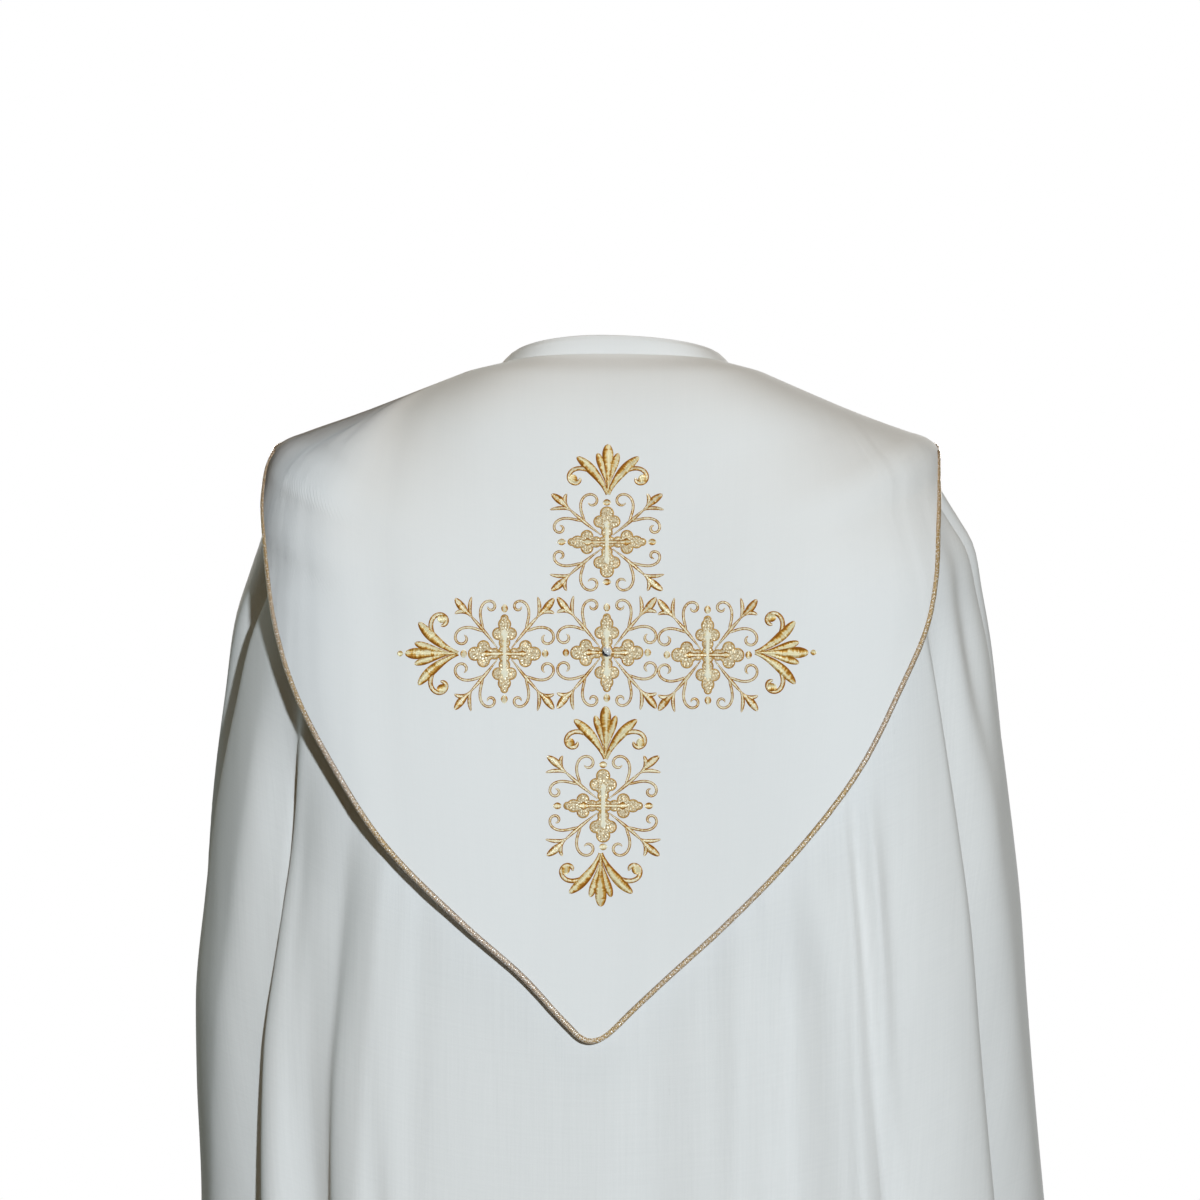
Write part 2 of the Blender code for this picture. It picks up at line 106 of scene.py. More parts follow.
# Each outline: out from the neck's axis, down from the back neck seam.
OUTLINES = {
    "back": (
        (0.076, 0.0), (0.098, 0.02), (0.117, 0.05), (0.132, 0.1), (0.143, 0.16), (0.152, 0.23), (0.16, 0.3),
        (0.173, 0.4), (0.187, 0.5), (0.206, 0.63), (0.245, 0.85), (0.295, 1.12), (0.35, 1.45),
    ),
    "front": (
        (0.074, 0.058), (0.104, 0.08), (0.132, 0.12), (0.15, 0.18), (0.16, 0.26), (0.168, 0.36),
        (0.185, 0.6), (0.225, 0.95), (0.27, 1.25), (0.31, 1.56),
    ),
    "left": (
        (0.077, 0.005), (0.127, 0.024), (0.182, 0.045), (0.226, 0.0605), (0.242, 0.067), (0.25, 0.075),
        (0.2535, 0.087), (0.2575, 0.104), (0.261, 0.13), (0.27, 0.158), (0.282, 0.196), (0.29, 0.254),
        (0.3, 0.332), (0.307, 0.409), (0.313, 0.487), (0.312, 0.545), (0.308, 0.643), (0.33, 0.88),
        (0.37, 1.15), (0.418, 1.45),
    ),
    "right": (
        (0.1, 0.004), (0.15, 0.026), (0.198, 0.046), (0.237, 0.0602), (0.25, 0.0645), (0.256, 0.07),
        (0.258, 0.08), (0.26, 0.09), (0.2665, 0.102), (0.277, 0.119), (0.289, 0.14), (0.296, 0.176),
        (0.303, 0.215), (0.308, 0.254), (0.317, 0.332), (0.325, 0.409), (0.33, 0.487), (0.336, 0.565),
        (0.343, 0.643), (0.364, 0.88), (0.398, 1.15), (0.438, 1.45),
    ),
}

# Valleys between the cloak's ridges. Lengths along the cloth and depths in metres, angles in degrees.
# overlap is how far the ridge beside the valley leans over it, as a share of its half width: + towards the
# right, - towards the left. spread is how much wider one flank is above the hem: + the right, - the left.
Fold = namedtuple(
    "Fold",
    "name start start_angle mid_angle hem_angle mid_half hem_half mid_depth hem_depth overlap spread",
)
FOLDS = table(
    Fold,
    ("left arm", 0.18, -66, -88, -88, 7.5, 11, 0.024, 0.085, -0.25, 0.0),
    ("left overlap", 0.30, -52, -55.0, -67, 4.2, 12, 0.021, 0.090, -0.50, -2.2),
    ("left back", 0.36, -39, -41.0, -46, 6.0, 12, 0.017, 0.095, -0.22, -0.7),
    ("left inner", 0.37, -30, -31.2, -24, 3.5, 11, 0.005, 0.095, -0.15, 0.0),
    ("centre", 0.42, 8, 6.0, -2, 7.0, 11, 0.006, 0.085, 0.0, 0.0),
    ("right inner", 0.40, 26, 25.5, 22, 9.5, 11, 0.025, 0.095, 0.0, 0.0),
    ("right back", 0.34, 37, 37.8, 45, 3.5, 12, 0.009, 0.100, 0.30, 0.0),
    ("right overlap", 0.22, 57, 60.5, 67, 4.2, 12, 0.022, 0.090, 0.50, 2.6),
    ("right arm", 0.13, 76, 90, 90, 7.0, 11, 0.020, 0.085, 0.30, 0.0),
    ("right side", 0.45, 120, 121, 118, 8.0, 11, 0.022, 0.085, 0.0, 0.0),
    ("right chest", 0.24, 136, 141, 139, 7.0, 10, 0.022, 0.080, 0.0, 0.0),
    ("right front", 0.20, 156, 159, 159, 5.5, 9, 0.018, 0.070, 0.0, 0.0),
    ("left side", 0.40, -122, -121, -120, 8.0, 11, 0.024, 0.085, 0.0, 0.0),
    ("left chest", 0.27, -139, -140, -141, 7.0, 10, 0.020, 0.080, 0.0, 0.0),
    ("left front", 0.21, -155, -158, -160, 5.5, 9, 0.019, 0.070, 0.0, 0.0),
)

# The hood's outline from behind, from its point up to the shoulders: down from the neck seam, and how
# far it reaches to the left and to the right.
HOOD_OUTLINE = (
    (0.5025, 0.007, -0.007), (0.5008, 0.012, -0.001), (0.4965, 0.016, 0.005), (0.482, 0.03, 0.02),
    (0.457, 0.053, 0.047), (0.418, 0.097, 0.09), (0.36, 0.155, 0.146), (0.305, 0.192, 0.188),
    (0.25, 0.222, 0.217), (0.2, 0.239, 0.24), (0.165, 0.246, 0.2475), (0.13, 0.2515, 0.251),
    (0.105, 0.254, 0.254), (0.085, 0.254, 0.2565), (0.07, 0.2475, 0.258),
)


# ---- curves and the hull
def smooth(xs, ys, x):
    """The monotone cubic curve through the points (xs, ys), at x, and straight on past its ends."""
    xs, ys = np.asarray(xs, float), np.asarray(ys, float)
    step = np.diff(xs)
    rise = np.diff(ys) / step
    slope = np.concatenate([rise[:1], (rise[:-1] + rise[1:]) / 2, rise[-1:]])
    slope[1:-1][rise[:-1] * rise[1:] <= 0] = 0.0
    x = np.asarray(x, float)
    k = np.clip(np.searchsorted(xs, x) - 1, 0, len(xs) - 2)
    t = np.clip((x - xs[k]) / step[k], 0, 1)
    inside = (
        ys[k] * (1 + 2 * t) * (1 - t) ** 2
        + slope[k] * step[k] * t * (1 - t) ** 2
        + ys[k + 1] * t * t * (3 - 2 * t)
        + slope[k + 1] * step[k] * t * t * (t - 1)
    )
    past = np.where(x > xs[-1], (x - xs[-1]) * slope[-1], 0) + np.where(
        x < xs[0], (x - xs[0]) * slope[0], 0
    )
    return inside + past


def unit(v):
    return v / np.linalg.norm(v, axis=-1, keepdims=True)


def run_along(points):
    """How far along a line of points each of them lies."""
    return np.append(0, np.cumsum(np.linalg.norm(np.diff(points, axis=0), axis=1)))


def at_stops(run, points, stops):
    """What the columns of points, one for each value of run, are at the stops."""
    return np.stack([np.interp(stops, run, column) for column in points.T], axis=-1)


def ease(t):
    """0 below 0, 1 above 1, and smooth between."""
    t = np.clip(t, 0, 1)
    return t * t * (3 - 2 * t)


def by_cloth_length(rows):
    """An outline as (length along the cloth, out, down), finely divided."""
    rows = np.array(rows, float)
    chord = run_along(rows)
    fine = np.linspace(0, chord[-1], OUTLINE_POINTS)
    out, down = (smooth(chord, column, fine) for column in rows.T)
    return run_along(np.stack([out, down], axis=1)), out, down


LINES = {name: by_cloth_length(rows) for name, rows in OUTLINES.items()}


def outline(name, s):
    """(out, down) on an outline at the cloth length s."""
    length, out, down = LINES[name]
    return np.interp(s, length, out), np.interp(s, length, down)


def hull(angle, s):
    """The smooth form that the cloak's ridges touch, at an angle round the neck and a cloth length."""
    angle, s = np.broadcast_arrays(np.asarray(angle, float), np.asarray(s, float))
    a = np.radians(angle)
    side_out, side_down = (
        np.where(a >= 0, right, left)
        for right, left in zip(outline("right", s), outline("left", s))
    )
    middle_out, middle_down = (
        np.where(np.cos(a) >= 0, back, front)
        for back, front in zip(outline("back", s), outline("front", s))
    )
    flatter = np.where(np.cos(a) >= 0, FLATTER_BACK, FLATTER_FRONT)
    sideways = np.sin(a) ** 2
    x = side_out * np.sin(a)
    y = -middle_out * np.cos(a) * (1 + flatter * sideways)
    z = -(middle_down + (side_down - middle_down) * sideways)
    return np.stack([x, y, z], axis=-1)


def hull_directions(angle, s):
    """Unit vectors on the hull: outward, along the hem towards larger angles, and down the cloth."""
    d_angle, d_s = 0.2, 0.002
    round_it = hull(angle + d_angle, s) - hull(angle - d_angle, s)
    down_it = hull(angle, s + d_s) - hull(angle, np.maximum(s - d_s, 0))
    return unit(np.cross(round_it, -down_it)), unit(round_it), unit(down_it)


def valley(fold, s):
    """At the cloth length s: a fold's middle angle, the width of each flank in degrees, and its depth."""
    levels = [fold.start, MID_LEVEL, CLOTH_LENGTH]
    s = np.maximum(s, fold.start)
    middle = smooth(levels, [fold.start_angle, fold.mid_angle, fold.hem_angle], s)
    half = smooth(levels, [fold.mid_half * 0.7, fold.mid_half, fold.hem_half], s)
    depth = smooth(levels, [fold.mid_depth * 0.6, fold.mid_depth, fold.hem_depth], s)
    wider = half * abs(fold.spread) * (1 - ease((s - MID_LEVEL) / (CLOTH_LENGTH - MID_LEVEL)))
    left = half + wider * (fold.spread < 0)
    right = half + wider * (fold.spread > 0)
    return middle, left, right, depth * ease((s - fold.start) / FOLD_EASE)


def bump(t):
    """1 at 0, and nothing beyond -1 and 1."""
    return np.cos(np.clip(np.abs(t), 0, 1) * math.pi / 2) ** 2


def cloak(angle, s):
    """The cloak's outer surface: the hull with every valley pressed into it."""
    angle, s = np.broadcast_arrays(np.asarray(angle, float), np.asarray(s, float))
    form = hull(angle, s)
    inward, sideways = np.zeros(s.shape), np.zeros(s.shape)
    for fold in FOLDS:
        middle, left, right, depth = valley(fold, s)
        half = np.where(angle < middle, left, right)
        across = (angle - middle) / half
        inward += depth * bump(across)
        reach = fold.overlap * np.radians(half) * np.linalg.norm(form[..., :2], axis=-1)
        ridge = bump(across / LEAN_WIDTH + math.copysign(1, fold.overlap))
        sideways += reach * ridge * ease((s - fold.start) / LEAN_EASE)
    inward += sideways**2 / RIDGE_DROP
    outward, round_it, _ = hull_directions(angle, s)
    return form - outward * inward[..., None] + round_it * sideways[..., None]


def front_edge_angle(s):
    """The angle of the cloak's front edge, from the half width of the front opening."""
    half_gap = FRONT_GAP_NECK + (FRONT_GAP_HEM - FRONT_GAP_NECK) * s / CLOTH_LENGTH
    side_out = (outline("left", s)[0] + outline("right", s)[0]) / 2
    return 180 - np.degrees(np.arcsin(half_gap / side_out))


# ---- the hood
def hood_offset(angle, s):
    """How far the hood's outer face lies outside the hull."""
    a = np.radians(angle)
    hangs = ease((s - HOOD_HANGS_FROM) / 0.14) * ease(2.5 * np.cos(a))
    stands = HOOD_STAND_OFF * np.sin(2 * a) ** 2
    clear = HOOD_CLEARANCE * ease((s + 0.005) / 0.035)
    return SEAM_GAP + HOOD_WALL + clear + (stands + HOOD_TIP_GAP) * hangs


def hood_surface(angle, s):
    outward, _, _ = hull_directions(angle, s)
    return hull(angle, s) + outward * hood_offset(angle, s)[..., None]


def halve(low, high, is_below):
    """Between low and high, the values at which is_below stops being true."""
    for _ in range(HALVINGS):
        middle = (low + high) / 2
        below = is_below(middle)
        low, high = np.where(below, middle, low), np.where(below, high, middle)
    return (low + high) / 2


def level_at(angle, down):
    """The cloth lengths at which the hood's surface lies that far below the neck seam."""
    start = np.zeros(down.shape)
    return halve(start, start + CLOTH_LENGTH, lambda s: -hood_surface(angle, s)[..., 2] < down)


def on_hood(down, across):
    """(angle, cloth length) of the hood's points at those depths and distances from the middle plane."""
    down, across = np.broadcast_arrays(np.asarray(down, float), np.asarray(across, float))
    edge = np.full(down.shape, 90.0)
    angle = halve(-edge, edge, lambda a: hood_surface(a, level_at(a, down))[..., 0] < across)
    return angle, level_at(angle, down)


def hood_edge():
    """(angle, cloth length) along the hood's free edge, from the left front edge round to the right one."""
    rows = np.array(HOOD_OUTLINE)
    run = run_along(rows[:, [0, 2]])
    # Columns crowd towards the point of the shield, which is round.
    stops = run[-1] * np.linspace(0, 1, HOOD_BACK_COLUMNS + 1) ** EDGE_CROWDING
    down, left, right = (smooth(run, column, stops) for column in rows.T)
    halves = []
    for side, reach in ((-1, -left[1:]), (1, right)):
        angle, s = on_hood(down[-len(reach) :], reach)
        t = np.arange(1, HOOD_FRONT_COLUMNS + 1) / HOOD_FRONT_COLUMNS
        over = angle[-1] + (side * front_edge_angle(HOOD_END) - angle[-1]) * t
        forward = s[-1] + (HOOD_END - s[-1]) * ease(t)
        halves.append(np.stack([np.append(angle, over), np.append(s, forward)], axis=1))
    return np.concatenate([halves[0][::-1], halves[1]])


# ---- meshes
SHARP = math.radians(60)


def add_object(name, data):
    made = bpy.data.objects.new(name, data)
    bpy.context.scene.collection.objects.link(made)
    return made


def mesh_object(name, points, faces, uv, surface, flat=False):
    """A piece from its points, its faces, and a UV for each point, in metres."""
    mesh = bpy.data.meshes.new(name)
    mesh.from_pydata(points, [], faces, shade_flat=flat)
    layer = mesh.uv_layers.new(name="cloth")
    layer.data.foreach_set("uv", uv.astype(np.float32)[np.concatenate(faces)].ravel())
    mesh.materials.append(surface)
    mesh.set_sharp_from_angle(angle=SHARP)
    mesh.validate()
    return add_object(name, mesh)


def quads(index):
    """The faces of a grid of point numbers."""
    return np.stack([index[:-1, :-1], index[1:, :-1], index[1:, 1:], index[:-1, 1:]], axis=-1).reshape(-1, 4)


def sheet_mesh(name, outer, inner, u, v, cloth):
    """A closed thin shell between two grids of points. u and v are the cloth lengths at its points."""
    rows, cols = outer.shape[:2]
    count = rows * cols
    index = np.arange(count).reshape(rows, cols)
    top = quads(index)
    rim = np.concatenate([index[0, :-1], index[:-1, -1], index[-1, :0:-1], index[:0:-1, 0]])
    follows = np.roll(rim, -1)
    sides = np.stack([rim, follows, count + follows, count + rim], axis=1)
    faces = np.concatenate([top, top[:, ::-1] + count, sides])
    points = np.concatenate([outer.reshape(-1, 3), inner.reshape(-1, 3)])
    uv = np.tile(np.stack([u, v], axis=-1).reshape(-1, 2), (2, 1))
    return mesh_object(name, points, faces, uv, cloth)


def closed_bar(rings, across, along, more=0):
    """(points, faces, uv) of a closed bar round rings of points. more is 1 where an end has one more face."""
    rows, cols = rings.shape[:2]
    index = np.arange(rows * cols).reshape(rows, cols)
    faces = quads(np.column_stack([index, index[:, 0]]))
    far = cols + more
    ends = [
        (ring[k - 1], ring[k], ring[far - 1 - k], ring[(far - k) % cols])
        for ring in (index[0], index[-1][::-1])
        for k in range(1, cols // 2 + more)
    ]
    uv = np.stack(np.broadcast_arrays(across, along), axis=-1)
    return rings.reshape(-1, 3), np.concatenate([faces, ends]), uv.reshape(-1, 2)


def grid_normals(points):
    """Unit vectors square to a grid of points, on the side where columns then rows turn right-handed."""
    return unit(np.cross(*np.gradient(points, axis=(0, 1))))


# ---- materials
WAVE_SCALE = 2 * math.pi / 20  # gives the wave texture one band to each unit


class Nodes:
    """A short way to write a material's nodes. Their UV is in metres of cloth or of thread."""

    def __init__(self, name, colour, roughness, metallic=0.0, **sockets):
        self.material = bpy.data.materials.new(name)
        self.material.use_nodes = True
        self.tree = self.material.node_tree
        self.shader = self.tree.nodes["Principled BSDF"]
        self.use(Base_Color=colour, Roughness=roughness, Metallic=metallic, **sockets)
        self.uv = self.add("ShaderNodeUVMap", uv_map="cloth").outputs["UV"]

    def plug(self, socket, value):
        if isinstance(value, bpy.types.NodeSocket):
            self.tree.links.new(value, socket)
        else:
            socket.default_value = (*value, 1) if socket.type == "RGBA" else value

    def use(self, **sockets):
        for name, value in sockets.items():
            self.plug(self.shader.inputs[name.replace("_", " ")], value)
        return self.material

    def add(self, kind, inputs=None, **settings):
        node = self.tree.nodes.new(kind)
        for key, value in settings.items():
            setattr(node, key, value)
        for key, value in (inputs or {}).items():
            self.plug(node.inputs[key], value)
        return node

    def split(self):
        """How far across and how far along a point of the piece lies."""
        return self.add("ShaderNodeSeparateXYZ", {"Vector": self.uv}).outputs[:2]

    def scaled(self, across, along, turned=0.0):
        """The cloth's own coordinates, so many to the metre across and along."""
        rotation = (0, 0, math.radians(turned))
        inputs = {"Vector": self.uv, "Scale": (across, along, 1), "Rotation": rotation}
        return self.add("ShaderNodeMapping", inputs).outputs["Vector"]

    def noise(self, vector, detail=2.0, rough=0.5, scale=1.0):
        inputs = {"Vector": vector, "Scale": scale, "Detail": detail, "Roughness": rough}
        return self.add("ShaderNodeTexNoise", inputs).outputs["Fac"]

    def stripes(self, vector, direction, wobble):
        """Bands, one to each unit of the vector along its X or Y."""
        inputs = {"Vector": vector, "Scale": WAVE_SCALE, "Distortion": wobble, "Detail": 1.0}
        return self.add("ShaderNodeTexWave", inputs, bands_direction=direction).outputs["Fac"]

    def math(self, operation, a, b=0.0, clamp=False):
        return self.add("ShaderNodeMath", {0: a, 1: b}, operation=operation, use_clamp=clamp).outputs["Value"]

    def plus(self, a, b):
        return self.math("ADD", a, b)

    def minus(self, a, b, clamp=False):
        return self.math("SUBTRACT", a, b, clamp)

    def times(self, a, b, clamp=False):
        return self.math("MULTIPLY", a, b, clamp)

    def ramp(self, factor, *stops):
        node = self.add("ShaderNodeValToRGB", {"Fac": factor})
        elements = node.color_ramp.elements
        while len(elements) < len(stops):
            elements.new(0.5)
        for element, (place, colour) in zip(elements, stops):
            element.position = place
            element.color = (*colour, 1)
        return node.outputs["Color"]

    def mask(self, factor, start, end):
        """0 up to the start and 1 from the end on; the other way round where the end comes first."""
        low, high = ((start, (0, 0, 0)), (end, (1, 1, 1)))
        return self.ramp(factor, low, high) if start < end else self.ramp(factor, high, low)

    def mix(self, factor, a, b):
        return self.add("ShaderNodeMix", {0: factor, 6: a, 7: b}, data_type="RGBA").outputs[2]

    def bump(self, height, distance, strength=1.0, after=None):
        inputs = {"Height": height, "Distance": distance, "Strength": strength}
        if after is not None:
            inputs["Normal"] = after
        return self.add("ShaderNodeBump", inputs).outputs["Normal"]


def shaded(colour, share):
    return tuple(min(1.0, c * share) for c in colour)


STANDING_RISE = 2.4  # how fast the bump tilts the hood's left margin, as if it stood off, per metre
SLUB, FILL = (0.0022, 0.09), (0.05, 0.0019)  # sizes across and along of the streaks in the warp and the weft


def woven_cloth(name, colour, thread, streak, slub, waves=0.004, standing_from=None):
    """Plain weave of fine threads, with soft streaks along the warp. Roughness and colour vary with them.

    Cloth further left than standing_from gets a bump that tilts its shading as if it stood off what is under
    it, more and more towards its edge.
    """
    nodes = Nodes(name, colour, 0.78, Sheen_Weight=0.22, Sheen_Roughness=0.45, Specular_IOR_Level=0.25)
    threads = nodes.scaled(1 / thread, 1 / thread)
    weave = nodes.times(nodes.stripes(threads, "X", 0.35), nodes.stripes(threads, "Y", 0.35))
    streaks = nodes.noise(nodes.scaled(1 / SLUB[0], 1 / SLUB[1]), 3.0, 0.6)
    crossways = nodes.noise(nodes.scaled(1 / FILL[0], 1 / FILL[1]), 2.0, 0.5)
    cloud = nodes.noise(nodes.scaled(7.0, 5.0), 3.0, 0.5)
    lines = nodes.plus(nodes.times(streaks, 0.65), nodes.times(crossways, 0.35))
    tone = nodes.ramp(lines, (0.30, shaded(colour, 1 - streak)), (0.70, shaded(colour, 1 + streak * 0.8)))
    clouded = nodes.mix(nodes.times(cloud, 0.25), tone, shaded(colour, 0.93))
    threaded = nodes.mix(nodes.times(nodes.minus(1.0, weave), 0.10), clouded, shaded(colour, 0.72))
    rough = nodes.plus(0.66, nodes.times(lines, 0.22))
    soft = nodes.bump(lines, slub, 1.0, nodes.bump(weave, 0.00006, 0.6))
    uneven = nodes.bump(nodes.noise(nodes.scaled(11.0, 3.0, 12.0), 2.0, 0.45), waves, 1.0, soft)
    if standing_from is not None:
        beyond = nodes.math("MAXIMUM", nodes.minus(standing_from, nodes.split()[0]), 0.0)
        uneven = nodes.bump(nodes.times(nodes.times(beyond, beyond), STANDING_RISE), 1.0, 1.0, uneven)
    return nodes.use(Base_Color=threaded, Roughness=rough, Normal=uneven)


STITCH = 0.00042  # from one stitch to the next


def gold_thread(name, slant, pale, body, deep, lit=0.5, fall=2.5, metal=0.35):
    """Satin stitches across a stroke, whose UV runs from 0 to 1 across. A painted highlight runs along the
    stroke at lit, and painted shade darkens it towards both edges.
    """
    nodes = Nodes(name, body, 0.34, metal, Specular_IOR_Level=0.3)
    across, along = nodes.split()
    from_middle = nodes.math("ABSOLUTE", nodes.minus(across, 0.5))
    stitches = nodes.math("DIVIDE", nodes.plus(along, nodes.times(from_middle, slant * 0.001)), STITCH)
    lay = nodes.add("ShaderNodeCombineXYZ", {"X": stitches, "Y": nodes.times(across, 2.0)}).outputs["Vector"]
    threads = nodes.stripes(lay, "X", 0.5)
    glints = nodes.noise(lay, 2.0, 0.7, 0.26)
    patches = nodes.noise(nodes.scaled(1.6, 210.0), 1.0, 0.5)
    drifts = nodes.noise(nodes.scaled(0.3, 60.0), 1.0, 0.5)
    # Painted highlight: pale at lit across the stroke, falling off to the deep colour as painted shade at
    # both edges.
    shine = nodes.minus(1.10, nodes.times(nodes.math("ABSOLUTE", nodes.minus(across, lit)), fall))
    # Painted glints, and patches and drifts of painted highlight that vary at random along the thread.
    for cloud, share in ((glints, 1.5), (patches, 1.2), (drifts, 0.9)):
        shine = nodes.plus(shine, nodes.times(nodes.minus(cloud, 0.5), share))
    tone = nodes.ramp(shine, (0.22, deep), (0.52, body), (0.84, pale))
    lined = nodes.mix(nodes.times(nodes.minus(1.0, threads), 0.28), tone, deep)
    rough = nodes.plus(0.22, nodes.times(patches, 0.26))
    return nodes.use(Base_Color=lined, Roughness=rough, Normal=nodes.bump(threads, 0.00012, 0.8))


def net_stitch(name, pale, deep):
    """Net stitching: small cells of pale metallic thread, darker where the threads cross the cloth."""
    nodes = Nodes(name, pale, 0.42, 0.2, Specular_IOR_Level=0.3)
    inputs = {"Vector": nodes.scaled(1 / 0.0019, 1 / 0.0019), "Scale": 1.0, "Randomness": 1.0}
    cells = nodes.add("ShaderNodeTexVoronoi", inputs, feature="DISTANCE_TO_EDGE").outputs["Distance"]
    web = nodes.minus(1.0, nodes.times(cells, 3.2, True), True)
    twist = nodes.noise(nodes.scaled(1 / 0.0014, 1 / 0.0014), 2.0, 0.7)
    between = tuple(0.5 * (a + b) for a, b in zip(pale, deep))
    cords = nodes.ramp(twist, (0.38, deep), (0.58, between))
    hearts = nodes.ramp(twist, (0.36, deep), (0.46, between), (0.57, pale))
    return nodes.use(Base_Color=nodes.mix(web, hearts, cords), Normal=nodes.bump(web, 0.0003, 0.9))


def lame_piping(name):
    """Piping covered in lame: a fine diagonal metal weave with painted glints, in places gold, in others
    silver.
    """
    nodes = Nodes(name, (0.6, 0.5, 0.4), 0.32, 0.25, Specular_IOR_Level=0.6)
    around, length, glint = 2 * math.pi * PIPING_RADIUS, 0.0009, 0.0013
    one, two = (nodes.scaled(around / length, 1 / length, turned) for turned in (38.0, -38.0))
    weave = nodes.times(nodes.stripes(one, "X", 0.6), nodes.stripes(two, "X", 0.6))
    glints = nodes.noise(nodes.scaled(around / glint, 1 / glint), 2.0, 0.8)
    drift = nodes.noise(nodes.scaled(0.3, 7.0), 1.0, 0.5)
    gold, silver, dark, painted_highlight = (0.72, 0.46, 0.17), (0.74, 0.56, 0.45), (0.24, 0.14, 0.05), (1.0, 0.95, 0.90)
    body = nodes.mix(nodes.mask(drift, 0.42, 0.60), silver, gold)
    sunk = nodes.mix(nodes.mask(weave, 0.34, 0.02), body, dark)
    # Painted glints: specks of a near-white painted highlight mixed into the colour.
    tone = nodes.mix(nodes.mask(glints, 0.52, 0.62), sunk, painted_highlight)
    return nodes.use(Base_Color=tone, Normal=nodes.bump(weave, 0.00015, 0.8))


def cut_stone(name):
    """Foil-backed crystal: each facet's tone is a painted reflection, light or dark, so tones differ."""
    polish = {"Coat_Weight": 1.0, "Coat_Roughness": 0.02, "Specular_IOR_Level": 0.9}
    nodes = Nodes(name, (0.8, 0.82, 0.86), 0.04, 0.35, **polish)
    facet = nodes.add("ShaderNodeAttribute", attribute_name="facet").outputs["Fac"]
    cloud = nodes.noise(nodes.scaled(900.0, 900.0), 1.0, 0.5)
    level = nodes.plus(nodes.times(facet, 0.85), nodes.times(cloud, 0.25))
    dark, grey, white = (0.02, 0.025, 0.04), (0.45, 0.48, 0.54), (1, 1, 1)
    return nodes.use(Base_Color=nodes.ramp(level, (0.34, dark), (0.50, grey), (0.60, white)))


# ---- the cloth
FINE_COLUMNS = 1401


def cloth_columns(first, last, s, count, surface):
    """Angles of a fine grid's columns, even along each row's cloth, and the lengths along the rows."""
    angles = first + (last - first) * np.linspace(0, 1, FINE_COLUMNS)[None, :]
    even = np.linspace(0, 1, count + 1)
    rows = [(run_along(points), row) for points, row in zip(surface(angles, s), angles)]
    wanted = [np.interp(even * run[-1], run, row) for run, row in rows]
    lengths = [even * run[-1] - np.interp(0.0, row, run) for run, row in rows]
    return np.array(wanted), np.array(lengths)


# Smaller creases between the folds: the angle near the upper and at the lower end, half width in metres,
# height, which is negative for a trough, and the cloth lengths between which it shows.
Crease = namedtuple("Crease", "angle low_angle half height start end", defaults=(0.35, 1.60))
CREASES = table(
    Crease,
    (18.0, 18.0, 0.012, 0.0033),
    (20.5, 20.5, 0.012, 0.0021),
    (23.0, 23.0, 0.012, 0.0077),
    (25.5, 25.5, 0.012, 0.0052),
    (28.0, 27.5, 0.012, 0.0077),
    (30.5, 30.0, 0.012, 0.0073),
    (33.0, 32.3, 0.010, 0.0035),
    (35.0, 34.2, 0.006, 0.0057),
    (37.0, 36.0, 0.006, 0.0022),
    (39.0, 38.0, 0.010, 0.0080),
    (69.0, 71.0, 0.017, -0.0080, 0.20, 0.44),
    (128.0, 131.0, 0.024, -0.0040),
    (149.0, 150.0, 0.020, 0.0030),
    (-26.0, -26.0, 0.014, -0.0020),
    (-28.5, -28.5, 0.012, 0.0010),
    (-31.0, -31.0, 0.010, 0.0029),
    (-33.5, -33.5, 0.010, 0.0007),
    (-36.0, -36.0, 0.010, -0.0026),
    (-43.5, -42.5, 0.012, -0.0025),
    (-46.0, -45.0, 0.012, -0.0068),
    (-48.5, -47.5, 0.012, -0.0090),
    (-51.0, -50.0, 0.012, -0.0095),
    (-126.0, -128.0, 0.022, -0.0040),
    (-150.0, -151.0, 0.020, 0.0030),
)


def creased(angle, s):
    """The cloak's outer surface with its smaller creases and the step of its turned hem."""
    height = HEM_STEP * ease((s - CLOTH_LENGTH + HEM_DEPTH) / HEM_SLOPE)
    around = np.radians(1) * outline("left", s)[0]
    for crease in CREASES:
        middle = crease.angle + (crease.low_angle - crease.angle) * ease((s - crease.start) / CREASE_BENDS)
        across = (angle - middle) * around / crease.half
        shown = ease((s - crease.start) / CREASE_FADES) * ease((crease.end - s) / CREASE_FADES)
        height = height + crease.height * np.exp(-(across**2)) * shown
    return cloak(angle, s) + hull_directions(angle, s)[0] * height[..., None]


def cloth_levels():
    """Cloth lengths of the fine rows, with three more at the step of the hem."""
    s = CLOTH_LENGTH * np.linspace(0, 1, CLOTH_ROWS + 1) ** ROW_CROWDING
    return np.sort(np.append(s, CLOTH_LENGTH - HEM_DEPTH + np.array(HEM_ROWS)))[:, None]


def make_cloak(cloth):
    s = cloth_levels()
    edge = front_edge_angle(s)
    gap = np.degrees(SEAM_HALF / outline("left", s)[0])
    panels = (
        ("back_panel", gap - SIDE_SEAM, SIDE_SEAM - gap, BACK_COLUMNS),
        ("front_right", SIDE_SEAM + gap, edge, FRONT_COLUMNS),
        ("front_left", -edge, -SIDE_SEAM - gap, FRONT_COLUMNS),
    )
    for node, first, last, count in panels:
        angles, lengths = cloth_columns(first, last, s, count, cloak)
        levels = np.broadcast_to(s, angles.shape)
        outer = creased(angles, levels)
        inner = outer - grid_normals(outer) * CLOTH
        piece = sheet_mesh(f"{node}_cloth", outer, inner, lengths, levels, cloth)
        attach(piece, "root")
        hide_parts(node)


